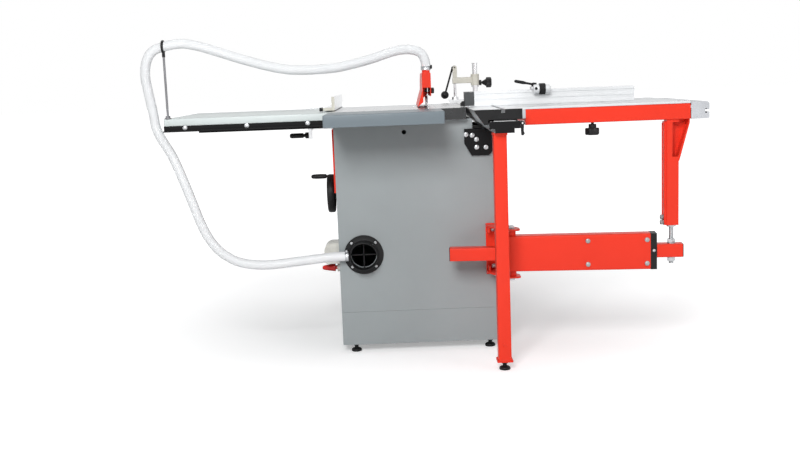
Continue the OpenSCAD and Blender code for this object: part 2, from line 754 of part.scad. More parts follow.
// aluminium pieces of the cross-cut table: hook blocks on the slide and the closed end profile
module frame_profiles() color("gainsboro") placed() {
  for (y = [frame_y0, frame_y1 - frame_w])
    box([slide_x1, frame_x0], [y + 1, y + frame_w - 1], [top - 38, frame_z1]);
  difference() {
    along_y([frame_y0, frame_y1]) difference() {
      polygon([[end_x0 - 2, frame_z1 - 8], [end_x0, frame_z1 - 8], [end_x0, frame_z1 + 4],
        [end_x1 - 6, frame_z1 + 4], [end_x1, frame_z1 - 2], [end_x1, frame_z0 + 3], [end_x1 - 4, frame_z0],
        [end_x0 + 4, frame_z0], [end_x0, frame_z0 + 4], [end_x0, frame_z1 - 16],
        [end_x0 - 2, frame_z1 - 16]]);
      translate([end_x1 - 10, frame_z0 + 22]) square([11, 8]);
      translate([end_x1 - 14, frame_z0 + 18]) square([6, 16]);
    }
    box([end_x0 + 10, end_x0 + 36], [frame_y0 + 3, frame_y1 + 1], [frame_z0 + 8, frame_z1 - 12]);
  }
}

// pale top sheet of the cross-cut table
module crosscut_deck() color("white") placed() {
  difference() {
    box([slide_x1 + 1, frame_x1], [frame_y0, frame_y1], [frame_z1, top]);
    for (y = [frame_y0 + 12, frame_y1 - 12], x = [frame_x0 + 20, frame_x1 - 20])
      bar_z(x, y, [top - 3, top + 1], 12);
  }
}

// post under the cross-cut frame, its corner open towards a folded gusset; flat bar and bolts
module support_post() color("red") placed() {
  x0 = post_x - 20;
  z0 = frame_z0;
  difference() {
    box([x0, x0 + 40], [post_y - 20, post_y + 20], [post_z, z0]);
    box([x0 + 3, x0 + 37], [post_y - 17, post_y + 17], [post_z + 6, z0 + 1]);
    box([x0 + 19, x0 + 41], [post_y - 21, post_y + 16], [z0 - 126, z0 - 9]);
  }
  box([x0 - 7, x0 + 1], [post_y - 14, post_y + 14], [post_z, z0 - 6]);
  for (z = [post_z + 9, post_z + 27]) bar_x([x0 - 16, x0 - 6], post_y, z, 14);
  along_y([post_y + 16, post_y + 20])
    polygon([[x0 + 39, z0], [x0 + 77, z0], [x0 + 77, z0 - 12], [x0 + 42, z0 - 140], [x0 + 39, z0 - 140]]);
  along_y([post_y - 20, post_y + 20])
    polygon([[x0 + 73, z0], [x0 + 77, z0], [x0 + 77, z0 - 12], [x0 + 42, z0 - 140], [x0 + 38, z0 - 140],
      [x0 + 38, z0 - 127], [x0 + 73, z0 - 11]]);
}

// column of the hold-down clamp standing in the T-slot
module clamp_column() color("dimgray") placed() {
  translate([slot_x, clamp_y, 0]) {
    box([-10, 10], [-16, 16], [top - 13.5, top - 6.5]);
    bar_z(0, 0, [top - 7, top + 1], 11);
    bar_z(0, 0, [top, top + 15], 48);
    bar_z(0, 0, [top + 14, top + 160], 22);
    bar_z(0, 0, [top + 60, top + 68 - gap], 32);
    bar_z(0, 0, [top + 159, top + 163], 26);
  }
}

// star knob under the frame that clamps the deck stop
module deck_knob() color("black") placed() {
  translate([knob_x, frame_y0 + frame_w / 2, frame_z0 - 43]) {
    star_knob(50, 24);
    translate([0, 0, 23]) cylinder(d = 26, h = 14);
    translate([0, 0, 36]) cylinder(d = 10, h = 26);
  }
}

// clamp arm: sleeve on the column, beam, fork for the lever and a star knob
module clamp_arm() color("ivory") placed() {
  z = top + 78;
  difference() {
    union() {
      bar_z(slot_x, clamp_y, [z - 10, z + 38], 36);
      box([clamp_x - 10, slot_x - 6], [clamp_y - 11, clamp_y + 11], [z, z + 26]);
      for (y = [clamp_y - 11, clamp_y + 6])
        box([clamp_x - 8, clamp_x + 10], [y, y + 5], [z + 25, z + 76]);
      bar_y(clamp_x, [clamp_y - 11, clamp_y + 11], z + 68, 8);
      bar_x([slot_x + 10, slot_x + 52], clamp_y, z, 10);
      translate([slot_x + 50, clamp_y, z]) rotate([0, 90, 0]) star_knob(42, 22);
    }
    bar_z(slot_x, clamp_y, [z - 11, z + 39], 22 + 2 * run);
    bar_z(clamp_x, clamp_y, [z - 1, z + 60], 12 + 2 * run);
  }
}

// pressure rod of the clamp with its rubber pad
module clamp_rod() color("gray") placed() {
  bar_z(clamp_x, clamp_y, [top + 20, top + 78 + 68 - 9 - gap], 12);
  translate([clamp_x, clamp_y, top + 9]) cylinder(d1 = 32, d2 = 26, h = 12);
}

// eccentric lever with a ball grip
module clamp_lever() color("black") placed() {
  translate([clamp_x, clamp_y, top + 146]) {
    difference() {
      union() {
        rotate([90, 0, 0]) cylinder(d = 18, h = 11, center = true);
        translate([-8.5, 0, 0]) sphere(d = 10);
      }
      rotate([90, 0, 0]) cylinder(d = 8 + 2 * run, h = 12, center = true);
    }
    translate([-8.5, 0, 0]) rotate([0, 17.3, 0]) {
      translate([0, 0, -118]) cylinder(d = 8, h = 118);
      translate([0, 0, -121]) sphere(d = 34);
    }
  }
}

// red outer box of the swing arm, open at both ends, turning on the stub pins
module arm_box() color("red") placed() arm_frame() {
  h = arm_h / 2;
  w = tube_w / 2 + 5;
  difference() {
    union() {
      box([-18, arm_len], [-w, w], [arm_z - h, arm_z + h]);
      bar_z(0, 0, [arm_z + h - 1, arm_z + h + ear_gap - gap], 30);
      bar_z(0, 0, [arm_z - h - ear_gap + gap, arm_z - h + 1], 30);
    }
    box([-19, arm_len + 1], [-w + 4, w - 4], [arm_z - h + 4, arm_z + h - 4]);
    bar_z(0, 0, [arm_z - h - ear_gap, arm_z + h + ear_gap], 16 + 2 * run);
    for (u = [arm_len - 212, arm_len - 12], z = [arm_z - 41, arm_z + 41]) bar_y(u, [-w - 1, -w + 5], z, 6.6);
  }
}

// black glide pads above and below the inner tube with their screws, and the end scraper
module arm_guides() color("black") placed() arm_frame() {
  h = arm_h / 2;
  w = tube_w / 2 + 5;
  for (u = [arm_len - 212, arm_len - 22]) {
    box([u - 20, u + 20], [-w + 7, w - 7], [arm_z + tube_w / 2 + gap, arm_z + h - 4]);
    box([u - 20, u + 20], [-w + 7, w - 7], [arm_z - h + 4, arm_z - tube_w / 2 - gap]);
  }
  for (u = [arm_len - 212, arm_len - 12], z = [arm_z - 41, arm_z + 41]) {
    bar_y(u, [-w - 4, -w], z, 13);
    bar_y(u, [-w - 1, -w + 8], z, 6);
  }
  difference() {
    box([arm_len, arm_len + 21], [-w, w], [arm_z - h, arm_z + h]);
    box([arm_len - 1, arm_len + 22], [-tube_w / 2 - 0.5, tube_w / 2 + 0.5],
      [arm_z - tube_w / 2 - 0.5, arm_z + tube_w / 2 + 0.5]);
    bar_y(arm_len + 11, [-w - 1, -w + 2], arm_z + 41, 9);
  }
}

// square inner tube with closed ends; the support screw stands in its outer end
module arm_tube() color("red") placed() arm_frame() {
  h = tube_w / 2;
  difference() {
    box([tube_u0, tube_u1], [-h, h], [arm_z - h, arm_z + h]);
    box([tube_u0 + 8, tube_u1 - 70], [-h + 3, h - 3], [arm_z - h + 3, arm_z + h - 3]);
    bar_z(arm_reach, 0, [arm_z - h - 1, arm_z + h + 1], screw_d + 2 * run);
    for (u = [tube_u0 + 30, tube_u1 - 90]) bar_z(u, 0, [arm_z - h - 1, arm_z - h + 4], 8);
  }
}

// height screw between inner tube and post, with nuts, washers and a head plate
module support_screw() color("gray") placed() translate([post_x, post_y, 0]) {
  h = tube_w / 2;
  bar_z(0, 0, [arm_z - h - 24, post_z - gap], screw_d);
  for (z = [arm_z + h, arm_z - h - 3]) bar_z(0, 0, [z, z + 3], 30);
  translate([0, 0, arm_z + h + 3]) cylinder(d = 27, h = 13, $fn = 6);
  translate([0, 0, arm_z - h - 16]) cylinder(d = 27, h = 13, $fn = 6);
  bar_z(0, 0, [post_z - gap - 6, post_z - gap], 32);
}

// pale aluminium fence profile with T-slots and grooves, its end block and pivot pin
module crosscut_fence() color("gainsboro") placed() {
  y0 = fence_y;
  y1 = fence_y + fence_t;
  yc = (y0 + y1) / 2;
  z0 = top + 0.5;
  z1 = z0 + fence_h;
  along_x([fence_x0, fence_x0 + fence_len]) difference() {
    translate([y0, z0]) square([fence_t, fence_h]);
    translate([yc - 4, z1 - 6]) square([8, 7]);
    translate([yc - 8, z1 - 11]) square([16, 6]);
    translate([y1 - 6, z0 + 14]) square([7, 8]);
    translate([y1 - 10, z0 + 10]) square([5, 16]);
    translate([y0 - 1, z0 + 10]) square([3, 12]);
    translate([y0 - 1, z0 + 30]) square([3, 12]);
    translate([y0 + 7, z0 + 6]) square([11, 28]);
  }
  box([fence_x0 - 35, fence_x0], [y0 + 1, y1 - 1], [z0, z1]);
  bar_z(slot_x, yc, [top - 12, z0 + 3], 11);
}

// black shoe at the blade end of the fence
module fence_shoe() color("black") placed() {
  along_y([fence_y - 2, fence_y + fence_t + 2])
    polygon([[fence_x0 - 49, top + 2.5], [fence_x0 - 35, top + 2.5], [fence_x0 - 35, top + 20],
      [fence_x0 - 42, top + 20], [fence_x0 - 49, top + 12]]);
}

// saddle of the flip stop that slides on the fence
module stop_carrier() color("dimgray") placed() {
  y0 = fence_y - 6;
  y1 = fence_y + fence_t + 6;
  z = top + 0.5 + fence_h;
  box([stop_x - 25, stop_x + 45], [y0, y1], [z + gap, z + 10]);
  box([stop_x, stop_x + 45], [y0, fence_y - gap], [z - 20, z + 10]);
  box([stop_x, stop_x + 45], [fence_y + fence_t + gap, y1], [z - 11, z + 10]);
  for (x = [stop_x, stop_x + 27 + gap])
    along_x([x, x + 4.7]) {
      translate([y1 - 2, z - 2]) square([10, 12]);
      translate([y1 + 8, z + 4]) circle(d = 14);
    }
  bar_x([stop_x, stop_x + 32], y1 + 8, z + 4, 8);
  bar_z(stop_x - 13, fence_y + fence_t / 2, [z + 9, z + 26], 8);
}

// stop finger that flips up about the pin of the saddle
module flip_finger() color("dimgray") placed() {
  y = fence_y + fence_t + 14;
  z = top + 0.5 + fence_h + 4;
  difference() {
    union() {
      bar_x([stop_x + 5, stop_x + 27], y, z, 13);
      box([stop_x + 5, stop_x + 27], [y - 3, y + 5], [top + 6, z]);
      box([stop_x + 5, stop_x + 27], [y - 3, y + 16], [top + 6, top + 14]);
    }
    bar_x([stop_x + 4, stop_x + 28], y, z, 8 + 2 * run);
  }
}

// clamp lever of the flip stop
module stop_lever() color("black") placed() {
  z = top + 0.5 + fence_h + 10 + gap;
  translate([stop_x - 13, fence_y + fence_t / 2, z]) difference() {
    union() {
      cylinder(d = 19, h = 13);
      translate([0, 0, 7]) rotate([0, -78, 0]) translate([0, 0, 6]) rotate_extrude()
        polygon([[0, 0], [4, 0], [4, 22], [6, 34], [5.5, 62], [3, 66], [0, 66.5]]);
    }
    translate([0, 0, -1]) cylinder(d = 8 + 2 * run, h = 18);
  }
}

// rip fence: wide head on the rail with a lug, adjusting knob and the angled profile over the table
module rip_fence() color("silver") placed() {
  y = rail_y;
  along_x([rip_x - 140, rip_x + 13])
    polygon([[y + 1, top - 34 + 0.4], [y + 40.4, top - 34 + 0.4], [y + 40.4, top - 90], [y + 70, top - 90],
      [y + 84, top - 60], [y + 84, top - 12], [y + 70, top + 3], [y + 1, top + 3]]);
  along_x([rip_x - 134, rip_x - 121])
    polygon([[y + 14, top - 128], [y + 56, top - 128], [y + 70, top - 80], [y + 41, top - 80],
      [y + 41, top - 84.6], [y + 14, top - 84.6]]);
  along_y([y + 44 - rip_len, y + 44]) difference() {
    polygon([[rip_x - 33, top + 3], [rip_x + 11, top + 3], [rip_x + 11, top + 3 + rip_h],
      [rip_x, top + 3 + rip_h], [rip_x, top + 14], [rip_x - 33, top + 14]]);
    translate([rip_x - 30, top + 6]) square([24, 5]);
    translate([rip_x + 3, top + 8]) square([5, rip_h - 9]);
  }
  bar_x([rip_x - 145, rip_x - 139], y + 62, top - 24, 12);
  translate([rip_x - 144, y + 62, top - 24]) rotate([0, -90, 0]) star_knob(32, 22);
}

// twist handle that locks the rip fence on its rail
module rip_lever() color("black") placed() {
  translate([rip_x - 134 - gap, rail_y + 35, top - 113]) rotate([0, -90, 0]) rotate_extrude()
    polygon([[0, 0], [13, 0], [13, 15], [7, 18], [7, 22], [10.5, 26], [10.5, 74], [7, 81], [0, 82]]);
}

// tilting cradle: end plates with arc ribs, beams and the two lift columns
module tilt_cradle() color("dimgray") placed() unit_frame() {
  cradle_end([cradle_y0 + gap, cradle_y0 + 12], [cradle_y0 - 8, cradle_y0 + 1]);
  cradle_end([cradle_y1 - 12, cradle_y1 - gap], [cradle_y1 - 1, cradle_y1 + 8]);
  box([34, 66], [cradle_y0 + 11, arbor_y - 94], [-140, -118]);
  box([34, 66], [arbor_y + 94, cradle_y1 - 11], [-140, -118]);
  box([34, 66], [cradle_y0 + 11, cradle_y1 - 11], [-400, -378]);
  for (y = [arbor_y - 110, arbor_y + 110]) bar_z(50, y, [-395, -120], 24);
  box([1.3 + 0.2, 30], [cradle_y0 + 11, 82], [-150, -112]);
}

module cradle_end(y, rib) {
  along_y(y) {
    arc_band(98, 146, -34, 32);
    polygon([[16, -100], [84, -100], [84, -400], [16, -400]]);
  }
  along_y(rib) arc_band(120, 128, -30, 30);
}

// steel splitter behind the blade; it carries the guard
module splitter() color("lightgray") placed() unit_frame() {
  y1 = arbor_y - blade_d / 2 - 6.5;
  along_x([-1.3, 1.3]) difference() {
    polygon([[60, -150], [y1, -150], [y1, 96], [y1 - 6, 102], [74, 102], [68, 96], [68, 58], [60, 50]]);
    translate([arbor_y, arbor_z]) circle(d = blade_d + 12, $fn = 96);
    translate([84, 62]) circle(d = 8 + 2 * run);
    translate([72, -131]) circle(d = 9);
  }
}

// red guard hood with its flared left wall and the hose collar
module blade_guard() color("red") placed() unit_frame() {
  z1 = hood_top;
  difference() {
    union() {
      intersection() {
        along_y([hood_y0, arbor_y + 172])
          polygon([[13, 44], [13, z1 - 4], [9, z1], [-15, z1], [-19, z1 - 4], [-19, 64], [-36, 6]]);
        along_x([-40, 20]) hood_side(0);
      }
      bar_z(-3, collar_y, [z1 - 1, z1 + 33], 29);
    }
    intersection() {
      along_y([hood_y0 + 3, arbor_y + 169])
        polygon([[10, 20], [10, z1 - 5], [8, z1 - 3], [-14, z1 - 3], [-16, z1 - 5], [-16, 63.5],
          [-34.5, 0], [0, 0]]);
      along_x([-40, 20]) hood_side(3);
    }
    box([-16, 10], [hood_y0 - 1, hood_y0 + 4], [-5, 73]);
    bar_z(-3, collar_y, [z1 - 4, z1 + 34], 23);
    bar_x([9, 14], 84, 62, 8 + 2 * run);
  }
}

module hood_side(inset) {
  y1 = arbor_y + 172 - inset;
  z1 = hood_top - inset;
  polygon([[hood_y0 + inset, -1], [hood_y0 + inset, z1], [y1 - 150, z1], [y1 - 96, z1 - 10],
    [y1 - 50, z1 - 34], [y1 - 18, z1 - 66], [y1, z1 - 104], [y1, -1]]);
}

// star knob and stud that hold the guard on the splitter
module guard_knob() color("black") placed() unit_frame() {
  bar_x([-10, 15], 84, 62, 8);
  translate([13 + gap, 84, 62]) rotate([0, 90, 0]) star_knob(22, 11);
}

// carriage of the arbor: plate, bearing housing, sleeves on the columns and motor stand-offs
module arbor_carriage() color("gray") placed() unit_frame() {
  difference() {
    union() {
      box([18, 30], [arbor_y - 95, arbor_y + 95], [motor_z - 50, arbor_z + 34]);
      bar_x([11, 60], arbor_y, arbor_z, 52);
      for (s = [-1, 1]) {
        bar_z(50, arbor_y + s * 110, [motor_z - 20, motor_z + 80], 40);
        box([20, 46], [arbor_y + s * 103 - 13, arbor_y + s * 103 + 13], [motor_z - 10, motor_z + 70]);
      }
    }
    bar_x([10, 61], arbor_y, arbor_z, arbor_d + 2 * run);
    for (s = [-1, 1]) bar_z(50, arbor_y + s * 110, [motor_z - 21, motor_z + 81], 24 + 2 * run);
    for (s = [-1, 1]) bar_x([17, 31], arbor_y + s * 60, arbor_z - 40, 40);
  }
  for (y = [arbor_y - 62, arbor_y + 62], z = [motor_z - 18, motor_z + 18]) bar_x([29, 84], y, z, 14);
}

// finned motor with a terminal box
module motor() color("darkslategray") placed() unit_frame() {
  difference() {
    union() {
      bar_x([84, 84 + motor_len], arbor_y, motor_z, motor_d);
      box([110, 110 + motor_len / 2], [arbor_y - 36, arbor_y + 36],
        [motor_z + 40, motor_z + motor_d / 2 + 18]);
    }
    bar_x([83, 116], arbor_y, motor_z, 20 + 2 * run);
    for (i = [0 : 4]) {
      x = 84 + motor_len - 18 - i * 9;
      translate([x, arbor_y, motor_z]) rotate([0, 90, 0]) difference() {
        cylinder(d = motor_d + 2, h = 4);
        translate([0, 0, -1]) cylinder(d = motor_d - 12, h = 6);
      }
    }
  }
}

// flat belt round the arbor and motor pulleys
module drive_belt() color("black") placed() unit_frame() {
  along_x([66, 80]) difference() {
    belt_outline(5);
    belt_outline(gap);
  }
}

module belt_outline(grow) {
  ra = 28 + grow;
  rm = 40 + grow;
  phi = asin((rm - ra) / (arbor_z - motor_z));
  translate([arbor_y, arbor_z]) circle(r = ra);
  translate([arbor_y, motor_z]) circle(r = rm);
  c = cos(phi);
  za = arbor_z + ra * sin(phi);
  zm = motor_z + rm * sin(phi);
  polygon([[arbor_y + rm * c, zm], [arbor_y + ra * c, za], [arbor_y - ra * c, za], [arbor_y - rm * c, zm]]);
}

// arbor shaft with flanges, nut and pulley
module saw_arbor() color("lightgray") placed() unit_frame() translate([0, arbor_y, arbor_z]) {
  t = blade_t / 2;
  bar_x([-t - 20, 84], 0, 0, arbor_d);
  bar_x([t, t + 8], 0, 0, 80);
  bar_x([-t - 8, -t], 0, 0, 80);
  translate([-t - 18, 0, 0]) rotate([0, 90, 0]) cylinder(d = 44, h = 11, $fn = 6);
  bar_x([64, 82], 0, 0, 56);
  bar_x([62.5, 65], 0, 0, 64);
  bar_x([81, 83.5], 0, 0, 64);
}

// toothed saw blade
module saw_blade() color("silver") placed() unit_frame() translate([0, arbor_y, arbor_z]) {
  r = blade_d / 2;
  teeth = 40;
  step = 360 / teeth;
  along_x([-blade_t / 2, blade_t / 2]) difference() {
    polygon([for (i = [0 : teeth - 1], k = [0 : 3])
      let (a = i * step + [0, 0.36, 0.55, 0.86][k] * step, q = r - [0, 2.5, 9, 9.5][k])
      [q * cos(a), q * sin(a)]]);
    circle(d = arbor_d + 2 * run);
    for (a = [20 : 90 : 290]) rotate([0, 0, a]) translate([r - 42, -1]) square([30, 2]);
  }
}

// pulley on the shaft of the motor
module motor_pulley() color("gray") placed() unit_frame() translate([0, arbor_y, motor_z]) {
  bar_x([60, 112], 0, 0, 20);
  bar_x([64, 82], 0, 0, 80);
}

rear_panel();
front_panel();
side_panels();
plinth();
levelling_feet();
main_table();
table_insert();
trunnions();
outfeed_table();
rip_extension();
rear_rail();
front_rail();
fasteners();
tilt_panel();
slide_brackets();
slide_rail();
guide_rods();
rail_legs();
dust_port();
hose_rod();
hose_ring();
guard_hose();
arm_bracket();
switch_box();
stop_button();
tilt_handwheel();
lift_handwheel();
lock_lever();
sliding_table();
slide_fittings();
crosscut_frame();
frame_profiles();
crosscut_deck();
support_post();
clamp_column();
deck_knob();
clamp_arm();
clamp_rod();
clamp_lever();
arm_box();
arm_guides();
arm_tube();
support_screw();
crosscut_fence();
fence_shoe();
stop_carrier();
flip_finger();
stop_lever();
rip_fence();
rip_lever();
tilt_cradle();
splitter();
blade_guard();
guard_knob();
arbor_carriage();
motor();
drive_belt();
saw_arbor();
saw_blade();
motor_pulley();
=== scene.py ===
import math

import bpy
import numpy as np
from mathutils import Matrix, Vector


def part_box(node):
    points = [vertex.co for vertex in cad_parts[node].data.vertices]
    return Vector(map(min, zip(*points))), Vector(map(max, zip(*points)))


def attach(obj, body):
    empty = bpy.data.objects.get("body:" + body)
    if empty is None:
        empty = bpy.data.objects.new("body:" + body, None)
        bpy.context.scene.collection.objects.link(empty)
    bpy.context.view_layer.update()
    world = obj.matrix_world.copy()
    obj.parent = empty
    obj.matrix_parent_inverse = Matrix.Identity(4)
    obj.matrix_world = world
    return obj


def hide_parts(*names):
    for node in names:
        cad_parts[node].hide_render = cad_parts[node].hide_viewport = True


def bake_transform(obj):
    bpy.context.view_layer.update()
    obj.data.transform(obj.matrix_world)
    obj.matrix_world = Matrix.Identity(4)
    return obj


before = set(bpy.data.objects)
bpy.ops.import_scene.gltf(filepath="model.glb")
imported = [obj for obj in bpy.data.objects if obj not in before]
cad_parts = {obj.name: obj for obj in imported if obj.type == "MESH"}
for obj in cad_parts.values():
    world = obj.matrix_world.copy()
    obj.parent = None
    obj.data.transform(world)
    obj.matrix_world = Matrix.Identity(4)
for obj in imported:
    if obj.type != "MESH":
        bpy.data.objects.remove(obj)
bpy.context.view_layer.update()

# The photographer stands behind the saw, at its outfeed end, a little above table height.
# The lens and the slight roll of the picture were fitted to the legs, the table and the floor line.
camera_place = (-0.114, -4.050, 0.998)
pitch = math.radians(8.4)
roll = math.radians(2.2)
ahead = np.array([0.0, math.cos(pitch), -math.sin(pitch)])
level_right = np.array([1.0, 0.0, 0.0])
level_up = np.cross(level_right, ahead)
right = math.cos(roll) * level_right - math.sin(roll) * level_up
upward = math.sin(roll) * level_right + math.cos(roll) * level_up

lens = bpy.data.cameras.new("photo_lens")
lens.sensor_width = 36.0
lens.lens = 45.0
lens.clip_start = 0.05
lens.clip_end = 60.0
photographer = bpy.data.objects.new("photo_camera", lens)
photographer.matrix_world = Matrix(
    [[right[i], upward[i], -ahead[i], camera_place[i]] for i in range(3)] + [[0, 0, 0, 1]]
)
bpy.context.scene.collection.objects.link(photographer)
bpy.context.scene.camera = photographer
bpy.context.scene.view_settings.view_transform = "Standard"


# A white studio: an endless pale floor and a white surround that metal can mirror. A soft lamp above the
# camera throws the outfeed table's shadow on the cabinet, a wide one hangs overhead and a weak one fills
# in from the right.
def add(tree, kind, inputs=None, **settings):
    """Adds one shader node, sets its properties, and fills or links its inputs."""
    made = tree.nodes.new(kind)
    for name, value in settings.items():
        setattr(made, name, value)
    for name, value in (inputs or {}).items():
        if isinstance(value, bpy.types.NodeSocket):
            tree.links.new(value, made.inputs[name])
        else:
            made.inputs[name].default_value = value
    return made


def maths(tree, operation, first, second):
    """One sum of two values, each a number or a socket."""
    return add(tree, "ShaderNodeMath", {0: first, 1: second}, operation=operation).outputs[0]


def between(tree, value, low, high, start=0.3, end=0.7):
    """Stretches a value from start..end to low..high."""
    limits = {"From Min": start, "From Max": end, "To Min": low, "To Max": high}
    return add(tree, "ShaderNodeMapRange", {"Value": value, **limits}).outputs["Result"]


def seen_directly(tree):
    """1 for rays from the eye, a mirror or a clear wall; 0 for the light that falls on things."""
    rays = add(tree, "ShaderNodeLightPath").outputs
    eye = maths(tree, "MAXIMUM", rays["Is Camera Ray"], rays["Is Glossy Ray"])
    return maths(tree, "MAXIMUM", eye, rays["Is Transmission Ray"])


def softbox(name, place, target, size, power):
    """A square lamp at place that faces target."""
    lamp = bpy.data.lights.new(name, "AREA")
    lamp.shape = "SQUARE"
    lamp.size = size
    lamp.energy = power
    holder = bpy.data.objects.new(name, lamp)
    turn = (Vector(target) - Vector(place)).to_track_quat("-Z", "Y")
    holder.matrix_world = Matrix.Translation(place) @ turn.to_matrix().to_4x4()
    bpy.context.scene.collection.objects.link(holder)


studio = bpy.data.worlds.new("white_studio")
studio.use_nodes = True
tree = studio.node_tree
tree.nodes.clear()
dim = add(tree, "ShaderNodeBackground", {"Color": (0.95, 0.97, 1.0, 1), "Strength": 0.20})
white = add(tree, "ShaderNodeBackground", {"Color": (1, 1, 1, 1), "Strength": 1.0})
mixed = add(tree, "ShaderNodeMixShader", {0: seen_directly(tree), 1: dim.outputs[0], 2: white.outputs[0]})
add(tree, "ShaderNodeOutputWorld", {"Surface": mixed.outputs[0]})
bpy.context.scene.world = studio

softbox("key_softbox", (-0.8, -4.4, 2.7), (0.1, -0.3, 0.6), 1.5, 138)
softbox("top_softbox", (0.3, 0.2, 4.0), (0.1, 0.0, 0.8), 4.6, 36)
softbox("fill_softbox", (3.2, -3.0, 1.5), (0.8, -0.5, 0.5), 1.6, 20)

floor_corners = [(-30, -20, 0), (30, -20, 0), (30, 40, 0), (-30, 40, 0)]
floor_mesh = bpy.data.meshes.new("studio_floor")
floor_mesh.from_pydata(floor_corners, [], [(0, 1, 2, 3)])
floor = bpy.data.objects.new("studio_floor", floor_mesh)
bpy.context.scene.collection.objects.link(floor)
paper = bpy.data.materials.new("pale_paper")
paper.use_nodes = True
tree = paper.node_tree
tree.nodes.clear()
spot = add(tree, "ShaderNodeTexCoord").outputs["Object"]
away = add(tree, "ShaderNodeVectorMath", {0: spot}, operation="LENGTH").outputs["Value"]
near_glow, near, far = 0.34, 0.5, 2.4
lift = maths(tree, "MULTIPLY", seen_directly(tree), between(tree, away, near_glow, 1.0, near, far))
matt = add(tree, "ShaderNodeBsdfDiffuse", {"Color": (0.86, 0.86, 0.86, 1)})
glow = add(tree, "ShaderNodeEmission", {"Color": (1, 1, 1, 1), "Strength": lift})
both = add(tree, "ShaderNodeAddShader", {0: matt.outputs[0], 1: glow.outputs[0]})
add(tree, "ShaderNodeOutputMaterial", {"Surface": both.outputs[0]})
floor_mesh.materials.append(paper)


# The clear extraction hose: a smooth, slightly milky vinyl tube, pushed over the nipple of the dust port,
# led up behind the end of the rip side through the black ring and down over the collar of the guard.
# It is one pipe wall, skin and bore, carried along a smooth line.
def drawing(points):
    """Millimetres from the middle of the cabinet's rear foot line, to metres in the row's frame."""
    return (np.asarray(points, float) - (44.0, 470.0, 0.0)) / 1000.0


def through_points(points, per_span):
    """Catmull-Rom curve: between points b and c each coordinate is the cubic whose end slopes
    are half the chord from a to c and from b to d."""
    padded = np.vstack([points[:1], points, points[-1:]])
    a, b, c, d = (p[:, None, :] for p in (padded[:-3], padded[1:-2], padded[2:-1], padded[3:]))
    t = (np.arange(per_span) / per_span)[None, :, None]
    curve = 2 * b + (c - a) * t + (2 * a - 5 * b + 4 * c - d) * t**2 + (3 * b - a - 3 * c + d) * t**3
    return np.vstack([0.5 * curve.reshape(-1, 3), points[-1:]])


def evenly(points, step):
    """Resamples a line at equal steps of arc length; returns the points and the distance along."""
    along = np.concatenate([[0], np.cumsum(np.linalg.norm(np.diff(points, axis=0), axis=1))])
    at = np.linspace(0, along[-1], int(round(along[-1] / step)) + 1)
    return np.stack([np.interp(at, along, points[:, k]) for k in range(3)], axis=1), at


def tube_grid(centre, radius, sides):
    """A pipe: at each centre point a ring of the given radius lies square to the local heading.
    The radius is a number or an array over (ring, angle). The ring's first direction is heading x Y,
    or heading x Z on a line along Y."""
    heading = np.gradient(centre, axis=0)
    heading /= np.linalg.norm(heading, axis=1)[:, None]
    level = (0.0, 0.0, 1.0) if np.abs(heading[:, 1]).max() > 0.97 else (0.0, 1.0, 0.0)
    side = np.cross(heading, level)
    side /= np.linalg.norm(side, axis=1)[:, None]
    third = np.cross(heading, side)
    turn = np.arange(sides) * 2 * np.pi / sides
    spread = np.cos(turn)[None, :, None] * side[:, None] + np.sin(turn)[None, :, None] * third[:, None]
    return centre[:, None] + np.broadcast_to(radius, (len(centre), sides))[..., None] * spread


def grid_quads(rows, columns):
    """Quads between neighbouring rows of a grid whose last column meets its first."""
    r = np.arange(rows - 1)[:, None] * columns
    c = np.arange(columns)[None, :]
    n = (c + 1) % columns
    return np.stack([r + c, r + n, r + columns + n, r + columns + c], axis=-1).reshape(-1, 4)


def looped(rows):
    """Rings joined to their neighbours and the last ring to the first: a washer, sleeve or hollow tube."""
    count, columns = rows.shape[:2]
    return rows.reshape(-1, 3), (grid_quads(count + 1, columns) % (count * columns)).tolist()


def surface(name, solid, material, body):
    """Puts points and faces into a mesh object at the origin that rides on a body, if one is named.
    Folds over 34 degrees stay crisp."""
    points, faces = solid
    mesh = bpy.data.meshes.new(name)
    mesh.from_pydata(np.asarray(points).tolist(), [], faces)
    mesh.polygons.foreach_set("use_smooth", np.ones(len(mesh.polygons), bool))
    mesh.set_sharp_from_angle(angle=math.radians(34))
    mesh.materials.append(material)
    mesh.update()
    piece = bpy.data.objects.new(name, mesh)
    bpy.context.scene.collection.objects.link(piece)
    if body:
        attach(piece, body)
    return piece


def new_finish(name):
    """A new material: itself, its node tree, its shader and the object's own coordinates."""
    finish = bpy.data.materials.new(name)
    finish.use_nodes = True
    tree = finish.node_tree
    return finish, tree, tree.nodes["Principled BSDF"], add(tree, "ShaderNodeTexCoord").outputs["Object"]


def noise(tree, place, scale, detail, roughness=0.5):
    """Cloudy noise, mostly between 0.3 and 0.7."""
    inputs = {"Vector": place, "Scale": scale, "Detail": detail, "Roughness": roughness}
    return add(tree, "ShaderNodeTexNoise", inputs).outputs["Fac"]


def lead_in(tree, shader, colour, normal, roughness):
    """Links colour, normal and roughness to the shader."""
    tree.links.new(colour, shader.inputs["Base Color"])
    tree.links.new(normal, shader.inputs["Normal"])
    tree.links.new(roughness, shader.inputs["Roughness"])


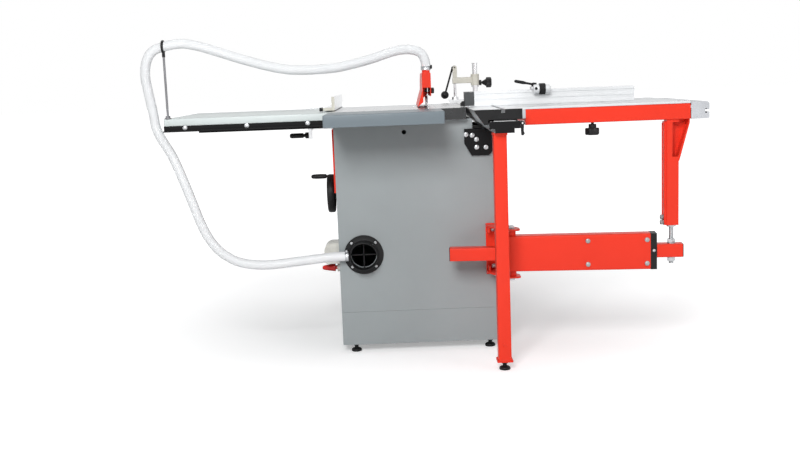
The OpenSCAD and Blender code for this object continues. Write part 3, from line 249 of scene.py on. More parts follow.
hose_radius, hose_wall, hose_sides, hose_step = 0.017, 0.0022, 28, 0.006
hose_route = drawing([
    (-262, -23.5, 366), (-290, -23.5, 366), (-330, -26, 365), (-420, -32, 358), (-515, -37, 350),
    (-585, -40, 350), (-650, -43, 363), (-695, -45, 387), (-730, -46, 419), (-760, -47, 465),
    (-783, -47, 520), (-803, -46, 580), (-824, -41, 640), (-868, -18, 745), (-923, 14, 835),
    (-936, 19, 905), (-945, 12, 972), (-950, 0, 1035), (-941, -5, 1085), (-919, -5, 1119),
    (-879, -5, 1135), (-820, 2, 1144), (-769, 10, 1136), (-714, 17, 1119), (-602, 30, 1080),
    (-490, 42, 1048), (-410, 52, 1037), (-298, 62, 1039), (-225, 68, 1050), (-151, 75, 1067),
    (-82, 82, 1088), (-35, 88, 1096), (8, 92, 1092), (34, 94, 1076), (45, 95, 1045), (45, 95, 1020),
])
hose_line, hose_along = evenly(through_points(hose_route, 24), hose_step)
skin = tube_grid(hose_line, hose_radius, hose_sides)
bore = tube_grid(hose_line, hose_radius - hose_wall, hose_sides)

clear_vinyl, tree, coat, place = new_finish("clear_vinyl")
haze = noise(tree, place, 9.0, 4.0)
tint = add(tree, "ShaderNodeValToRGB", {"Fac": haze})
tint.color_ramp.elements[0].color = (0.93, 0.945, 0.96, 1)
tint.color_ramp.elements[1].color = (0.97, 0.98, 0.985, 1)
grain = {"Height": noise(tree, place, 420.0, 2.0), "Strength": 0.06, "Distance": 0.0004}
fine_bump = add(tree, "ShaderNodeBump", grain).outputs["Normal"]
lead_in(tree, coat, tint.outputs["Color"], fine_bump, between(tree, haze, 0.16, 0.30, 0.0, 1.0))
coat.inputs["Transmission Weight"].default_value = 0.16
coat.inputs["IOR"].default_value = 1.2

hose = surface("clear_hose", looped(np.concatenate([skin, bore[::-1]])), clear_vinyl, None)
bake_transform(hose)
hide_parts("guard_hose")


# The cabinet: folded steel sheets with a semi-gloss grey powder coat, bolted to a plinth tray of the
# same grey. The coat has a fine orange peel, and is slightly thinner and brighter along the folds.
def worn_edges(tree, radius):
    """Rounded normal along every edge, and a mask that is 1 on the edges and 0 on flat faces."""
    soft = add(tree, "ShaderNodeBevel", {"Radius": radius}, samples=4).outputs["Normal"]
    flat = add(tree, "ShaderNodeNewGeometry").outputs["True Normal"]
    same = add(tree, "ShaderNodeVectorMath", {0: soft, 1: flat}, operation="DOT_PRODUCT").outputs["Value"]
    return soft, between(tree, same, 0.0, 1.0, 0.995, 0.80)


def shaded(tree, colour, strength):
    """A colour made lighter or darker from place to place."""
    made = add(tree, "ShaderNodeVectorMath", {0: colour, 1: strength}, operation="MULTIPLY")
    return made.outputs["Vector"]


def mixture(tree, share, first, second):
    """The first colour where share is 0, the second where it is 1."""
    inputs = {"Factor": share, "A": first, "B": second}
    return add(tree, "ShaderNodeMix", inputs, data_type="RGBA").outputs["Result"]


def bumped(tree, height, strength, distance, normal):
    """The normal, tipped by the slope of a noise."""
    inputs = {"Height": height, "Strength": strength, "Distance": distance, "Normal": normal}
    return add(tree, "ShaderNodeBump", inputs).outputs["Normal"]


def powder_coat(name, colour, roughness=0.36, peel=0.10, edge=0.35, grime=0.10, shine=0.35):
    """Painted sheet: colour drifts with broad noise, dust dulls it, orange peel bumps it and the edges
    catch light."""
    paint, tree, shader, place = new_finish(name)
    shader.inputs["Specular IOR Level"].default_value = shine
    normal, edges = worn_edges(tree, 0.0018)
    drift = between(tree, noise(tree, place, 2.6, 5.0, 0.6), 1 - grime, 1 + grime * 0.6)
    scratch = noise(tree, place, 46.0, 8.0, 0.75)
    worn = maths(tree, "MULTIPLY", maths(tree, "MULTIPLY", edges, scratch), edge)
    bright = tuple(min(1, c * 1.5 + 0.1) for c in colour) + (1,)
    rubbed = mixture(tree, worn, shaded(tree, colour, drift), bright)
    orange = bumped(tree, noise(tree, place, 520.0, 2.0), peel, 0.0006, normal)
    lead_in(tree, shader, rubbed, orange, between(tree, scratch, roughness - 0.05, roughness + 0.10, 0.35))
    return paint


def dress(material, *nodes):
    """Gives CAD nodes their finished material."""
    for name in nodes:
        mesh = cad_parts[name].data
        mesh.materials.clear()
        mesh.materials.append(material)


cabinet_grey = powder_coat("cabinet_grey", (0.325, 0.355, 0.362), 0.42, grime=0.05)
dress(cabinet_grey, "rear_panel", "front_panel", "side_panels", "plinth")


# Six screw feet: a moulded black pad on a threaded spindle with its lock nut, one under each
# cabinet corner and one under each leg of the rail. Pad, thread and nut are separate closed forms.
def moulded(name, colour, roughness=0.45, grain=0.25, shine=0.3):
    """Moulded plastic: fine grain in the bump, faint mottling, edges polished by handling."""
    plastic, tree, shader, place = new_finish(name)
    shader.inputs["Specular IOR Level"].default_value = shine
    normal, edges = worn_edges(tree, 0.0010)
    mottle = noise(tree, place, 30.0, 6.0)
    body = shaded(tree, colour, between(tree, mottle, 0.82, 1.22))
    polished = tuple(c * 1.8 + 0.02 for c in colour) + (1,)
    rubbed = mixture(tree, maths(tree, "MULTIPLY", edges, 0.35), body, polished)
    spark = bumped(tree, noise(tree, place, 1400.0, 3.0), grain, 0.0003, normal)
    lead_in(tree, shader, rubbed, spark, between(tree, mottle, roughness - 0.08, roughness + 0.08))
    return plastic


def capped(rows):
    """A stack of rings, each counterclockwise about the way the stack grows, closed by a flat face
    at both ends."""
    count, columns = rows.shape[:2]
    last = (count - 1) * columns
    ends = [list(range(columns))[::-1], list(range(last, last + columns))]
    return rows.reshape(-1, 3), grid_quads(count, columns).tolist() + ends


def joined(*solids):
    """Several closed surfaces as one."""
    starts = np.cumsum([0] + [len(points) for points, _ in solids])
    faces = [[int(start) + i for i in face] for start, (_, part) in zip(starts, solids) for face in part]
    return np.vstack([points for points, _ in solids]), faces


def around(axis, sides):
    """The axis as a unit vector, equal steps of angle about it, and the unit direction at each angle."""
    axis = np.asarray(axis, float) / np.linalg.norm(axis)
    first = np.cross((0.0, 0.0, 1.0) if abs(axis[2]) < 0.9 else (1.0, 0.0, 0.0), axis)
    first /= np.linalg.norm(first)
    angle = np.arange(sides) * 2 * np.pi / sides
    ring = np.cos(angle)[:, None] * first + np.sin(angle)[:, None] * np.cross(axis, first)
    return axis, angle, ring


def turned(profile, centre, axis, sides=32, closed=False, lobes=0, depth=0.0):
    """Lathe work: point (radius, height) of the profile goes round the axis through centre (millimetres).
    With lobes, the radius swings by depth x cos(lobes x angle); closed joins the profile's two ends."""
    profile = np.asarray(profile, float)
    axis, angle, ring = around(axis, sides)
    swing = (1 - depth + depth * np.cos(lobes * angle))[None, :, None]
    spread = profile[:, 0, None, None] * swing * ring
    rows = np.asarray(centre, float) + profile[:, 1, None, None] * axis + spread
    return (looped if closed else capped)(drawing(rows))


def hex_head(centre, axis, across, height, sides=48):
    """Hexagon head: radius = half the width across flats over cos(angle from the flat's middle);
    both ends are cut back by a 30 degree cone to a circle of 0.475 of the width."""
    axis, angle, ring = around(axis, sides)
    reach = across / 2 / np.cos(angle % (np.pi / 3) - np.pi / 6)
    circle = np.full(sides, 0.475 * across)
    radius = np.stack([circle, reach, reach, circle])
    cone = (reach - circle) * 0.577
    level = np.stack([np.zeros(sides), cone, height - cone, np.full(sides, height)])
    rows = np.asarray(centre, float) + level[..., None] * axis + radius[..., None] * ring
    return capped(drawing(rows))


def thread(radius, start, stop, place, pitch=2.0, depth=1.1, sides=24):
    """Screw thread up Z: the radius falls by depth x the triangle wave of
    height / pitch - angle / one turn."""
    height = np.arange(start, stop, pitch / 6)[:, None]
    angle = (np.arange(sides) * 2 * np.pi / sides)[None, :]
    wave = np.abs(((height / pitch - angle / (2 * np.pi)) % 1.0) * 2 - 1)
    r = radius - depth * wave
    x = place[0] + r * np.cos(angle)
    y = place[1] + r * np.sin(angle)
    return capped(drawing(np.stack([x, y, height + 0 * angle], axis=-1)))


black_nylon = moulded("black_nylon", (0.0075, 0.0075, 0.008), shine=0.2)
up = (0, 0, 1)
pad = [(17.5, 0), (19, 1.2), (19, 6.5), (17.8, 8.6), (14.5, 11), (9, 12.4), (7.5, 14), (7.5, 16)]
under_cabinet = [(x, y) for x in (-248, 248) for y in (30, 490)]
under_legs = [(269, -278), (269, 1218)]
foot_parts = []
for x, y in under_cabinet + under_legs:
    foot_parts.append(turned(pad, (x, y, 0), up, 36))
    foot_parts.append(thread(7.0, 15.5, 29.8, (x, y), 1.75, 0.9))
    foot_parts.append(hex_head((x, y, 21), up, 20, 7))
feet = surface("screw_feet", joined(*foot_parts), black_nylon, "root")
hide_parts("levelling_feet")


# The extraction outlet: one black moulding with a screwed flange, a stepped round spigot for the
# 100 mm hose, a cross grid behind its mouth and a small ribbed nipple at its side for the clear hose.
def rounded(x0, x1, y0, y1, r, steps=6):
    """Rectangle outline with round corners, counterclockwise."""
    quarter = np.linspace(0, np.pi / 2, steps)
    arcs = []
    for k, (x, y) in enumerate(((x1 - r, y1 - r), (x0 + r, y1 - r), (x0 + r, y0 + r), (x1 - r, y0 + r))):
        angle = quarter + k * np.pi / 2
        arcs.append(np.stack([x + r * np.cos(angle), y + r * np.sin(angle)], axis=1))
    return np.vstack(arcs)


def prism(axis, outline, start, stop):
    """Bar: the outline, in the other two axes in their order, carried along the axis from start to stop."""
    outline = np.asarray(outline, float)
    a, b = (k for k in range(3) if k != axis)
    area = np.sum(outline[:, 0] * np.roll(outline[:, 1], -1) - np.roll(outline[:, 0], -1) * outline[:, 1])
    if (area < 0) != (axis == 1):
        outline = outline[::-1]
    rows = np.empty((2, len(outline), 3))
    rows[..., a], rows[..., b] = outline[:, 0], outline[:, 1]
    rows[0, :, axis], rows[1, :, axis] = start, stop
    return capped(drawing(rows))


to_rear, to_left = (0, -1, 0), (-1, 0, 0)
port_x, port_z, port_reach = -205, 366, 47.3
nipple_y = -23.5
bar_half = 2.2
spigot = [(47.5, 0), (70.4, 0), (71.5, 1.1), (71.5, 3.8), (70.2, 5), (55.5, 5), (53.2, 6), (52.5, 8.2),
          (52.5, 36.2), (51.8, 37.6), (50.5, 38.4), (50.5, 53.2), (49.6, 54.7), (48.4, 55), (47.5, 54.2)]
bead = [(53.9, 0), (54.6, 0), (54.9, 2.5), (54.3, 5), (53.0, 5), (52.4, 2.5)]
nipple = [(11, 0), (14, 0), (14, 26), (14.4, 27.5), (13.4, 32), (14.4, 32.6), (13.2, 38), (12.4, 39),
          (11, 39)]
grid = []
for a, b in ((bar_half, port_reach), (port_reach, bar_half)):
    grid.append(prism(1, rounded(port_x - a, port_x + a, port_z - b, port_z + b, 0.8), -3.4, -0.2))
outlet = surface("dust_outlet", joined(
    turned(spigot, (port_x, 0, port_z), to_rear, 72, closed=True),
    turned(bead, (port_x, -10, port_z), to_rear, 72, closed=True),
    turned(nipple, (-251, nipple_y, port_z), to_left, 32, closed=True),
    *grid), black_nylon, "root")
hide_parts("dust_port")


# Bright zinc-plated hardware on the fixed parts: hexagon bolts with washers, the pan-head screws of the
# outlet, the worm clamp on the hose and the two bolts that the swing arm turns on. All are lathe work
# and hexagons, each seated on the sheet that it holds.
def bare_metal(name, colour, roughness, stretch=(1, 1, 1), lines=0.12, spot=0.10, metallic=1.0, sides=None):
    """Bare metal: machining lines are noise stretched along one axis; handling leaves soft dull patches.
    Where a colour for the sides is given, only faces that look up are bare and the rest takes that colour
    as painted shade."""
    metal, tree, shader, place = new_finish(name)
    shader.inputs["Metallic"].default_value = metallic
    normal, edges = worn_edges(tree, 0.0008)
    drawn = add(tree, "ShaderNodeMapping", {"Vector": place, "Scale": stretch}).outputs["Vector"]
    line = noise(tree, drawn, 240.0, 3.0)
    patch = noise(tree, place, 7.0, 6.0, 0.65)
    drift = between(tree, patch, 1 - spot, 1 + spot)
    streak = between(tree, line, 1 - lines, 1 + lines, 0.2, 0.8)
    body = shaded(tree, colour, maths(tree, "MULTIPLY", drift, streak))
    polished = tuple(min(1, c * 1.25) for c in colour) + (1,)
    finish = mixture(tree, edges, body, polished)
    # Painted shade: faces that don't look up take the near-black colour given for the sides.
    if sides:
        facing = add(tree, "ShaderNodeTexCoord").outputs["Normal"]
        height = add(tree, "ShaderNodeSeparateXYZ", {0: facing}).outputs["Z"]
        upper = maths(tree, "GREATER_THAN", height, 0.9)
        tree.links.new(upper, shader.inputs["Metallic"])
        finish = mixture(tree, upper, (*sides, 1), finish)
    gloss = between(tree, patch, roughness - 0.07, roughness + 0.10)
    lead_in(tree, shader, finish, bumped(tree, line, 0.10, 0.0003, normal), gloss)
    return metal


def bolt(centre, axis, across=13.0, height=5.5, washer=8.6):
    """Hexagon bolt head on its washer."""
    thick = 1.6
    seat = np.asarray(centre, float) + np.asarray(axis, float) * thick
    ring = [(washer - 0.5, 0), (washer, 0.4), (washer, thick - 0.4), (washer - 0.5, thick)]
    return turned(ring, centre, axis, 32), hex_head(seat, axis, across, height)


def clamp_band(centre, axis, inner, width):
    """Worm clamp: a thin band with rolled edges round the hose, in millimetres."""
    band, lip = inner + 1.0, inner + 1.4
    profile = [(inner, 0), (lip, 0), (lip, 1.2), (band, 1.8), (band, width - 1.8), (lip, width - 1.2),
               (lip, width), (inner, width)]
    return turned(profile, centre, axis, 48, closed=True)


zinc = bare_metal("zinc_plate", (0.42, 0.43, 0.44), 0.32, lines=0.05, spot=0.15)
down, to_front = (0, 0, -1), (0, 1, 0)
arm_pivot = (318, -130)
screw_circle = 61
pan = [(5.3, -0.6), (5.6, 0.3), (5.3, 1.6), (4.2, 2.7), (2.4, 3.3), (2.0, 2.4), (0.5, 2.0)]
bolts = []
for x in (-818, -599, -383):
    bolts += bolt((x, -20, 849), to_rear)
for x, z in ((177, 787), (199, 784), (214, 769), (214, 741), (247, 740)):
    bolts += bolt((x, -10, z), to_rear)
for z in (307, 443):
    bolts += bolt((266, -6, z), to_rear)
bolts += bolt((*arm_pivot, 461.5), up, 17, 9, 12)
bolts += bolt((*arm_pivot, 288.5), down, 17, 9, 12)
for a in np.radians((45, 135, 225, 315)):
    seat = (port_x + screw_circle * math.cos(a), -5, port_z + screw_circle * math.sin(a))
    bolts.append(turned(pan, seat, to_rear, 20))
worm_at = (-266, -30.5, 385.6)
bolts.append(turned([(2.6, 0), (3.6, 0.6), (3.6, 13.4), (2.6, 14)], worm_at, to_front, 16))
bolts.append(hex_head(worm_at, to_rear, 7, 4))
bolts.append(clamp_band((-259.6, nipple_y, port_z), to_left, 17.05, 12))
hardware = surface("bright_bolts", joined(*bolts), zinc, "root")
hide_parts("fasteners")


# Two spoked hand wheels, moulded in black nylon on a steel shaft: one at the left wall tilts the blade,
# one at the operator's side lifts it. Each has a turning grip near its rim.
def hand_wheel(place, out, reach):
    """Rim, hub and grip are turned about the shaft; each of the three spokes is an oval carried from
    the hub to the rim along its radius, its half width and half thickness falling as it goes."""
    place, out, top = np.asarray(place, float), np.asarray(out, float), np.array([0.0, 0.0, 1.0])
    side = np.cross(top, out)
    grip_radius = 67
    rim = [(62, 10), (64, 6), (68, 4.2), (72, 6), (74, 11), (74, 25), (72, 30), (68, 31.8), (64, 30),
           (62, 26)]
    hub = [(10, -reach), (10, 0.3), (18, 0.5), (20, 2.5), (20, 22), (18, 26), (15.5, 27.2), (7, 27.2),
           (6, 24), (1, 24)]
    handle = [(4.6, 28), (4.6, 34), (7.6, 35), (8.6, 38), (9.25, 56), (9.1, 74), (8.2, 86), (6.2, 91.5),
              (2.5, 93.3)]
    along = np.linspace(14, 65, 9)[:, None, None]
    turn = (np.arange(20) * 2 * np.pi / 20)[None, :, None]
    wide, thick, level = 9.5 - along * 0.045, 7.5 - along * 0.03, 15.5 + along * 0.035
    spokes = []
    for angle in np.radians((30, 150, 270)):
        radial = math.cos(angle) * side + math.sin(angle) * top
        across = np.cross(out, radial)
        rows = place + along * radial + wide * np.cos(turn) * across
        spokes.append(capped(drawing(rows + (level + thick * np.sin(turn)) * out)[:, ::-1]))
    return joined(turned(rim, place, out, 72, closed=True), turned(hub, place, out, 40),
                  turned(handle, place + grip_radius * top, out, 28), *spokes)


for name, body, node, place, out, reach in (
        ("tilt_wheel_moulding", "tilt_wheel", "tilt_handwheel", (-311, 260, 565), to_left, 47),
        ("lift_wheel_moulding", "lift_wheel", "lift_handwheel", (20, 520, 605), to_front, 30)):
    wheel = surface(name, hand_wheel(place, out, reach), black_nylon, body)
    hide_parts(node)


# The switch: a pale moulded housing with a rain hood, screwed to the left wall.
# Its red stop button is a turned cone on a stem that goes in below the hood.
pale_housing = moulded("pale_housing", (0.66, 0.65, 0.60), 0.4, 0.12)
dress(pale_housing, "switch_box")
red_button = moulded("red_button", (0.60, 0.02, 0.015), 0.24, 0.05)
cone = [(8, 0), (8, 20), (15, 20), (15.5, 21.5), (15.2, 26), (12.6, 44), (9.8, 60), (7.6, 68), (4, 71),
        (0.5, 71.2)]
button = surface("stop_button_cap", turned(cone, (-305, 230, 280), to_left, 40), red_button, "stop_button")
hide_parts("stop_button")


# The main table is cast iron, ground on top, with a loose insert round the blade; its sides are painted
# shade, a near-black colour for the shade they lie in. The trunnions and the saw unit's castings below it
# are left as cast. The sliding table, its rail and the end profile of the cross-cut frame are drawn
# aluminium.
# The near-black colour given for the sides is painted shade, not a paint of the table.
ground_iron_shade_painted_sides = bare_metal("ground_iron_shade_painted_sides", (0.50, 0.51, 0.52), 0.28, (1, 0.04, 1), 0.10,
                         sides=(0.022, 0.023, 0.024))
dress(ground_iron_shade_painted_sides, "main_table")
rough_iron = bare_metal("rough_iron", (0.10, 0.105, 0.11), 0.6, lines=0.25, metallic=0.6)
dress(rough_iron, "trunnions", "tilt_cradle", "arbor_carriage")
drawn_aluminium = bare_metal("drawn_aluminium", (0.66, 0.67, 0.68), 0.36, (1, 0.03, 1), 0.08)
dress(drawn_aluminium, "table_insert", "sliding_table", "slide_rail")
sawn_aluminium = bare_metal("sawn_aluminium", (0.40, 0.41, 0.43), 0.46, (1, 0.03, 1), 0.08)
dress(sawn_aluminium, "frame_profiles")


# The outfeed table and the table of the rip side: sheet steel folded into shallow trays with soft bends,
# turned lips below, painted blue grey and pale grey. Both are screwed to the sides of the main table.
def folded_tray(x0, x1, y0, y1, corner, profile):
    """Sheet tray: each (inset, height) of the profile is one rounded rectangle; rings run from the inner
    ceiling down the inner wall, round the lip, up the outside and over the bend to the top."""
    rows = []
    for inset, z in profile:
        outline = rounded(x0 + inset, x1 - inset, y0 + inset, y1 - inset, max(corner - inset, 0.8))
        rows.append(np.column_stack([outline, np.full(len(outline), z)]))
    return capped(drawing(np.array(rows)))


sheet_grey = powder_coat("sheet_grey", (0.172, 0.208, 0.232), 0.40, 0.08, 0.35, 0.05)
lipped = [(3, 881), (3, 845), (16, 845), (16, 842), (2.5, 842), (0.7, 842.8), (0, 845), (0, 879.5),
          (0.5, 881.8), (1.9, 883.4), (4.5, 884)]
outfeed = surface("outfeed_tray", folded_tray(-310, 90, -300, -40, 5, lipped), sheet_grey, "root")
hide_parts("outfeed_table")
pale_sheet = powder_coat("pale_sheet", (0.68, 0.74, 0.73), 0.34, grime=0.05)
plain_edge = [(3, 879), (3, 836), (0.4, 836), (0, 837), (0, 878.5), (0.5, 880.4), (1.6, 881.6), (3.8, 882)]
extension = surface("rip_side_tray", folded_tray(-893, -300, -15, 600, 5, plain_edge), pale_sheet, "root")
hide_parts("rip_extension")


# Black painted steel: the angle bar and the fence rail of the rip side, and the brackets of the slide's
# rail, bolted on. The slide's end caps, bearing shoes and lock lever are black nylon.
black_paint = powder_coat("black_paint", (0.006, 0.006, 0.0066), 0.48, 0.06, shine=0.12)
dress(black_paint, "rear_rail", "front_rail", "slide_brackets")
dress(black_nylon, "lock_lever", "slide_fittings")


# The hose holder: a thin blued steel rod screwed into the outer end of the rip side,
# with a moulded black ring at its top that the hose runs through.
dark_steel = bare_metal("dark_steel", (0.20, 0.20, 0.21), 0.38, lines=0.06)
dress(dark_steel, "hose_rod")
dress(black_nylon, "hose_ring")


# The rail legs: red square tube with welded head and foot plates, standing on the screw feet. The same
# red is on the tilt panel, the swing arm's bracket, the support post and the blade guard.
def weld(start, stop, size=2.6, ripple=3.2):
    """Weld seam: a thin bar from start to stop whose radius swells and shrinks with each ripple."""
    start, stop = np.asarray(start, float), np.asarray(stop, float)
    length = np.linalg.norm(stop - start)
    s = np.linspace(0, length, max(8, int(length / ripple * 6)))
    ends = np.minimum(1, np.minimum(s, length - s) / 3 + 0.25)
    radius = size * ends * (0.9 + 0.16 * np.sin(2 * np.pi * s / ripple))
    rows = tube_grid(start + s[:, None] / length * (stop - start), radius[:, None], 10)
    return capped(drawing(rows))


def weld_round(x0, x1, y0, y1, z):
    """Four seams round a square tube that stands on a plate."""
    return [weld((x0, y0, z), (x1, y0, z)), weld((x0, y1, z), (x1, y1, z)),
            weld((x0, y0, z), (x0, y1, z)), weld((x1, y0, z), (x1, y1, z))]


signal_red = powder_coat("signal_red", (0.86, 0.042, 0.018), 0.36, 0.08, 0.25, 0.04, shine=0.22)
dress(signal_red, "tilt_panel", "arm_bracket", "support_post", "blade_guard")
leg_x0, leg_x1, leg_depth = 247, 291, 44
rivet = [(5.6, 0), (6.4, 0.5), (6.4, 1.4), (5.2, 2.4), (0.5, 2.6)]
legs = []
for y0 in (-300, 1196):
    y1 = y0 + leg_depth
    legs.append(prism(2, rounded(leg_x0, leg_x1, y0, y1, 4), 34, 801))
    legs.append(prism(2, rounded(leg_x0 - 5, leg_x1 + 5, y0 - 5, y1 + 5, 3), 30, 36))
    legs.append(prism(2, rounded(leg_x0 - 2, leg_x1 + 2, y0 - 2, y1 + 2, 2), 800, 806))
    legs += weld_round(leg_x0, leg_x1, y0, y1, 37)
    legs += weld_round(leg_x0, leg_x1, y0, y1, 799.5)
    legs.append(turned(rivet, (269, y0, 90), to_rear, 20))
rail_legs = surface("red_legs", joined(*legs), signal_red, "root")
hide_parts("rail_legs")


# Turned and ground steel, left bright: the slide's two guide rods, the clamp's column and pressure rod,
# the splitter behind the blade, and the blade with its arbor and pulley.
turned_steel = bare_metal("turned_steel", (0.60, 0.60, 0.61), 0.26, lines=0.06)
dress(turned_steel, "guide_rods", "clamp_column", "clamp_rod", "splitter")
dress(turned_steel, "saw_arbor", "saw_blade", "motor_pulley")


# The cross-cut frame: four red rectangular tubes welded into a frame that hangs on the slide, under a
# pale deck sheet. The post under its outer end is welded on, and bolted through a flat bar.
frame_low, frame_top = 823, 876
post_y = -186
tubes = [prism(0, rounded(y, y + 50, frame_low, frame_top, 5), 365, 918) for y in (-215, 285)]
tubes += [prism(1, rounded(x, x + 40, frame_low + 0.2, frame_top - 0.2, 4), -166, 286) for x in (365, 878)]
tubes += [weld((x, y, 826), (x, y, 873), 3) for x in (405.5, 877.5) for y in (-164.5, 284.5)]
for x0, x1 in ((368, 402), (881, 915)):
    tubes += [weld((x0, y, 823.4), (x1, y, 823.4), 2.2) for y in (-166, 286)]
crossframe = surface("red_frame", joined(*tubes), signal_red, "slide")
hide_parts("crosscut_frame")
deck_sheet = powder_coat("deck_sheet", (0.74, 0.76, 0.77), 0.32, 0.02, grime=0.04)
dress(deck_sheet, "crosscut_deck")
seams = [weld((841, y, 822.4), (881, y, 822.4)) for y in (post_y - 20, post_y + 20)]
seams += [weld((833.6, y, 470), (833.6, y, 812), 2.0) for y in (post_y - 14, post_y + 14)]
post_seams = surface("post_welds", joined(*seams), signal_red, "slide")
dull_zinc = bare_metal("dull_zinc", (0.30, 0.30, 0.30), 0.42, lines=0.05, spot=0.18)
post_heads = [part for z in (472, 490) for part in bolt((834, post_y, z), to_left, 15.4, 9.2, 9.4)]
post_bolts = surface("post_bolts", joined(*post_heads), dull_zinc, "slide")


# The swing arm: a red welded box that turns on two bolts in its bracket, and a square tube that
# telescopes in it between black glide pads. A long screw stands in the tube's end and carries the post.
# Box and tube are drawn along X from the pivot and then turned to where the arm points at rest.
spindle = (861, post_y)
arm_yaw = math.atan2(spindle[1] - arm_pivot[1], spindle[0] - arm_pivot[0])


def on_arm(solid):
    """Turns a solid drawn along +X from the arm's pivot to the arm's heading at rest."""
    points, faces = solid
    local = points - drawing([(0, 0, 0)])
    c, s = math.cos(arm_yaw), math.sin(arm_yaw)
    turn = np.array([[c, s, 0], [-s, c, 0], [0, 0, 1]])
    return local @ turn + drawing([(*arm_pivot, 0)]), faces


def square_tube(outer, inner, start, stop):
    """Hollow tube along X: outline and bore are joined by a ring of faces at both ends."""
    rows = np.stack([np.column_stack([np.full(len(o), x), o])
                     for o, x in ((outer, start), (outer, stop), (inner, stop), (inner, start))])
    return looped(drawing(rows))


boss = [(14, 0), (15, 1), (15, 18.4), (14, 18.7)]
box_outside, box_bore = rounded(-28, 28, 312.5, 437.5, 6), rounded(-24, 24, 316.5, 433.5, 3)
box = surface("arm_outer_box", joined(
    on_arm(square_tube(box_outside, box_bore, -18, 473)),
    turned(boss, (*arm_pivot, 436.5), up),
    turned(boss, (*arm_pivot, 313.5), down)), signal_red, "arm")
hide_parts("arm_box")
dress(black_nylon, "arm_guides")
heads = []
for u in (261, 461):
    for z in (334, 416):
        heads += [on_arm(part) for part in bolt((u, -28, z), to_rear, 13.6, 4.2, 8.2)]
guide_screws = surface("guide_screws", joined(*heads), dull_zinc, "arm")
guide_pan = surface("guide_pan_screw", on_arm(turned(pan, (484, -28, 378), to_rear, 20)), zinc, "arm")
tube_outside, tube_bore = rounded(-23, 23, 352, 398, 4), rounded(-20, 20, 355, 395, 2.5)
tube = surface("arm_inner_tube", on_arm(square_tube(tube_outside, tube_bore, -216, 581.8)),
               signal_red, "arm_tube")
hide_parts("arm_tube")
plug = rounded(-22.4, 22.4, 352.6, 397.4, 3.6)
plug_ends = [on_arm(prism(0, plug, a, b)) for a, b in ((-218.4, -212), (578, 584.2))]
plugs = surface("tube_plugs", joined(*plug_ends), black_nylon, "arm_tube")
washer = [(14.4, 0), (15, 0.5), (15, 2.5), (14.4, 3)]
screw_head = [(15, 0), (16, 0.8), (16, 5.2), (15.2, 6)]
rod = surface("support_spindle", joined(
    thread(8.0, 328.5, 456.5, spindle),
    turned(washer, (*spindle, 398), up),
    turned(washer, (*spindle, 349), up),
    hex_head((*spindle, 401), up, 23.4, 13),
    hex_head((*spindle, 336), up, 23.4, 13),
    turned(screw_head, (*spindle, 456.7), up)), zinc, "arm_tube")
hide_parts("support_screw")
bracket_seams = [weld((242, -7, z), (287, -7, z), 3) for z in (454.6, 462.4, 287.6, 295.4)]
bracket_welds = surface("bracket_welds", joined(*bracket_seams), signal_red, "root")


# The cross-cut fence: a matt anodised profile with a dark end block and a black shoe, clamped to the
# deck. A flip stop on a saddle, with its clamp lever, slides along the top of the profile.
fence_aluminium = bare_metal("fence_aluminium", (0.70, 0.71, 0.72), 0.54, (0.03, 1, 1), 0.06, metallic=0.4)
dress(fence_aluminium, "crosscut_fence", "stop_carrier", "flip_finger")
dress(black_nylon, "fence_shoe", "stop_lever")
block_grey = moulded("block_grey", (0.055, 0.058, 0.060), 0.5)
end_block = prism(0, rounded(40.4, 74.6, 885, 937.2, 3), 178.4, 214.4)
block = surface("fence_end_block", end_block, block_grey, "fence")


# The stop's fine adjuster: a bright barrel that a short lug holds on the back of the saddle,
# with a knurled black ring round it and a small black screw in its face.
to_right = (1, 0, 0)
barrel = [(12, 0), (15, 1.5), (16, 4), (16, 54), (15, 57), (12, 58.5)]
ring = [(16.1, 0), (19, 0), (20, 1.2), (20, 20.8), (19, 22), (16.1, 22)]
stud = [(4.6, 0), (5.2, 0.6), (5.2, 2.4), (4.4, 3)]
adjuster = surface("stop_adjuster", joined(
    turned(barrel, (424, 18, 938), to_right, 48),
    prism(0, rounded(22, 34.4, 928, 948, 2), 432, 476)), fence_aluminium, "stop_carrier")
knurl = surface("adjuster_ring", joined(
    turned(ring, (444, 18, 938), to_right, 96, closed=True, lobes=24, depth=0.02),
    turned(stud, (432, 2.6, 940), to_rear, 20)), black_nylon, "stop_carrier")


# The hold-down clamp: a pale cast arm that slides on its column, with a pressure rod, an eccentric lever
# and a black star knob that pinches the arm. The casting is a sleeve, a bar and two cheeks with a pin.
def star(centre, axis, diameter, height):
    """Star knob: the radius swings five times round; each (share of the radius, height) is one ring."""
    r = diameter / 2
    rings = [(0.84 * r, 0), (0.96 * r, 1.2), (r, 3.5), (r, height - 5), (0.97 * r, height - 2.4),
             (0.88 * r, height - 0.6), (0.62 * r, height), (0.40 * r, height - 0.4), (0.36 * r, height - 2),
             (0.1 * r, height - 2)]
    return turned(rings, centre, axis, 60, lobes=5, depth=0.12)


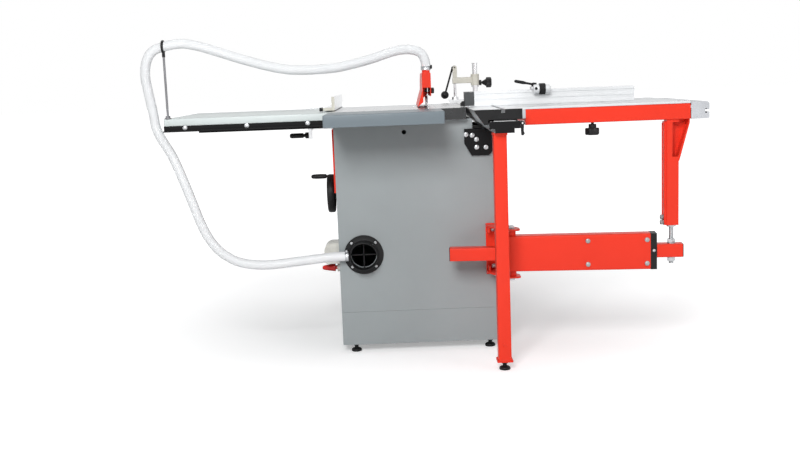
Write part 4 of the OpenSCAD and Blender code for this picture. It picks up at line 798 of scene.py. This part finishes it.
ivory_cast = powder_coat("ivory_casting", (0.66, 0.64, 0.56), 0.45, 0.25)
clamp_y, knob_z = 780, 962
sleeve = [(11.1, 952), (16.5, 952), (18, 953.5), (18, 998), (16.5, 1000), (11.1, 1000)]
cheek = [(182, 985), (200, 985), (200, 1030), (198, 1035), (194, 1038), (188, 1038), (184, 1035),
         (182, 1030)]
pin = [(3.4, 0), (4, 0.6), (4, 21.4), (3.4, 22)]
clamp_cast = surface("clamp_casting", joined(
    turned(sleeve, (277, clamp_y, 0), up, 40, closed=True),
    prism(0, rounded(769, 791, 962, 988, 5), 180, 262),
    prism(1, cheek, 769, 774),
    prism(1, cheek, 786, 791),
    turned(pin, (190, 769, 1030), to_front, 20)), ivory_cast, "clamp_arm")
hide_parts("clamp_arm")
pinch = surface("clamp_star_knob", joined(
    star((325, clamp_y, knob_z), to_right, 46, 23),
    turned([(4.8, 0), (4.8, 42)], (287, clamp_y, knob_z), to_right, 20),
    turned([(6, 0), (7.5, 1.5), (11, 9), (17, 18)], (308, clamp_y, knob_z), to_right, 32),
    turned([(10, 0), (11.5, 1), (11.5, 9), (10, 10)], (295, clamp_y, knob_z), to_right, 32)),
    black_nylon, "clamp_arm")
dress(black_nylon, "clamp_lever")


# Star knobs under the cross-cut frame and on the guard: black nylon moulded on steel studs.
# The one under the frame has a round collar; both screw into the part that they clamp.
knob_x, knob_y = 593, -190
guard_y, guard_z = 84, 946
collar = [(11, 803), (13, 804), (13, 816), (12, 817)]
under = surface("deck_star_knob", joined(
    star((knob_x, knob_y, 804), down, 50, 24),
    turned(collar, (knob_x, knob_y, 0), up),
    turned([(5, 816), (5, 841)], (knob_x, knob_y, 0), up, 20)), black_nylon, "deck_knob")
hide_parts("deck_knob")
guard_star = surface("guard_star_knob", joined(
    star((61.4, guard_y, guard_z), to_right, 22, 11),
    turned([(3.9, 0), (3.9, 24)], (38, guard_y, guard_z), to_right, 20)), black_nylon, "guard_knob")
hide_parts("guard_knob")


# The guard's hose clamp: a bright zinc band that holds the hose on the guard's collar,
# tightened by a dark wing screw at its right.
wing = prism(1, rounded(61, 68, 1024, 1038, 2.5), 86, 92)
wing_stem = [(2.4, 0), (3.2, 0.5), (3.2, 9), (2.4, 9.5)]
collar_band = surface("collar_band", clamp_band((45, 95, 1022), up, 17.05, 12), zinc, "tilt")
wing_screw = surface("collar_wing_screw", joined(wing, turned(wing_stem, (64.5, 92, 1031), to_front, 16)),
                     black_nylon, "tilt")


# The rip fence: a drawn angle profile on a cast head that rides on the rail, with a black twist handle.
# An ivory plate closes the profile's outfeed end, and a black glide beside it runs over the table.
rip_aluminium = bare_metal("rip_aluminium", (0.78, 0.79, 0.80), 0.30, (1, 0.03, 1), 0.06)
dress(rip_aluminium, "rip_fence")
dress(black_nylon, "rip_lever")
rip_low, rip_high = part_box("rip_fence")
rip_end = rip_low[1] * 1000 + 470
rip_top = rip_high[2] * 1000
angle_end = [(-336, 887), (-292, 887), (-292, rip_top), (-303, rip_top), (-303, 898), (-336, 898)]
end_plate = surface("rip_end_plate", prism(1, angle_end, rip_end - 2.5, rip_end), ivory_cast, "rip_fence")
glide_bar = prism(1, rounded(-348, -335.5, 884.6, 899, 2.5), rip_end - 6, rip_end + 14)
glide = surface("rip_end_glide", glide_bar, black_nylon, "rip_fence")


# The saw unit under the table: a dark painted motor that drives the arbor through a rubber belt.
# Both hang on the arbor's carriage, out of sight inside the cabinet, and keep their CAD shapes.
motor_paint = powder_coat("motor_paint", (0.10, 0.11, 0.12), 0.45)
dress(motor_paint, "motor")
belt_rubber = moulded("belt_rubber", (0.02, 0.02, 0.02), 0.7)
dress(belt_rubber, "drive_belt")
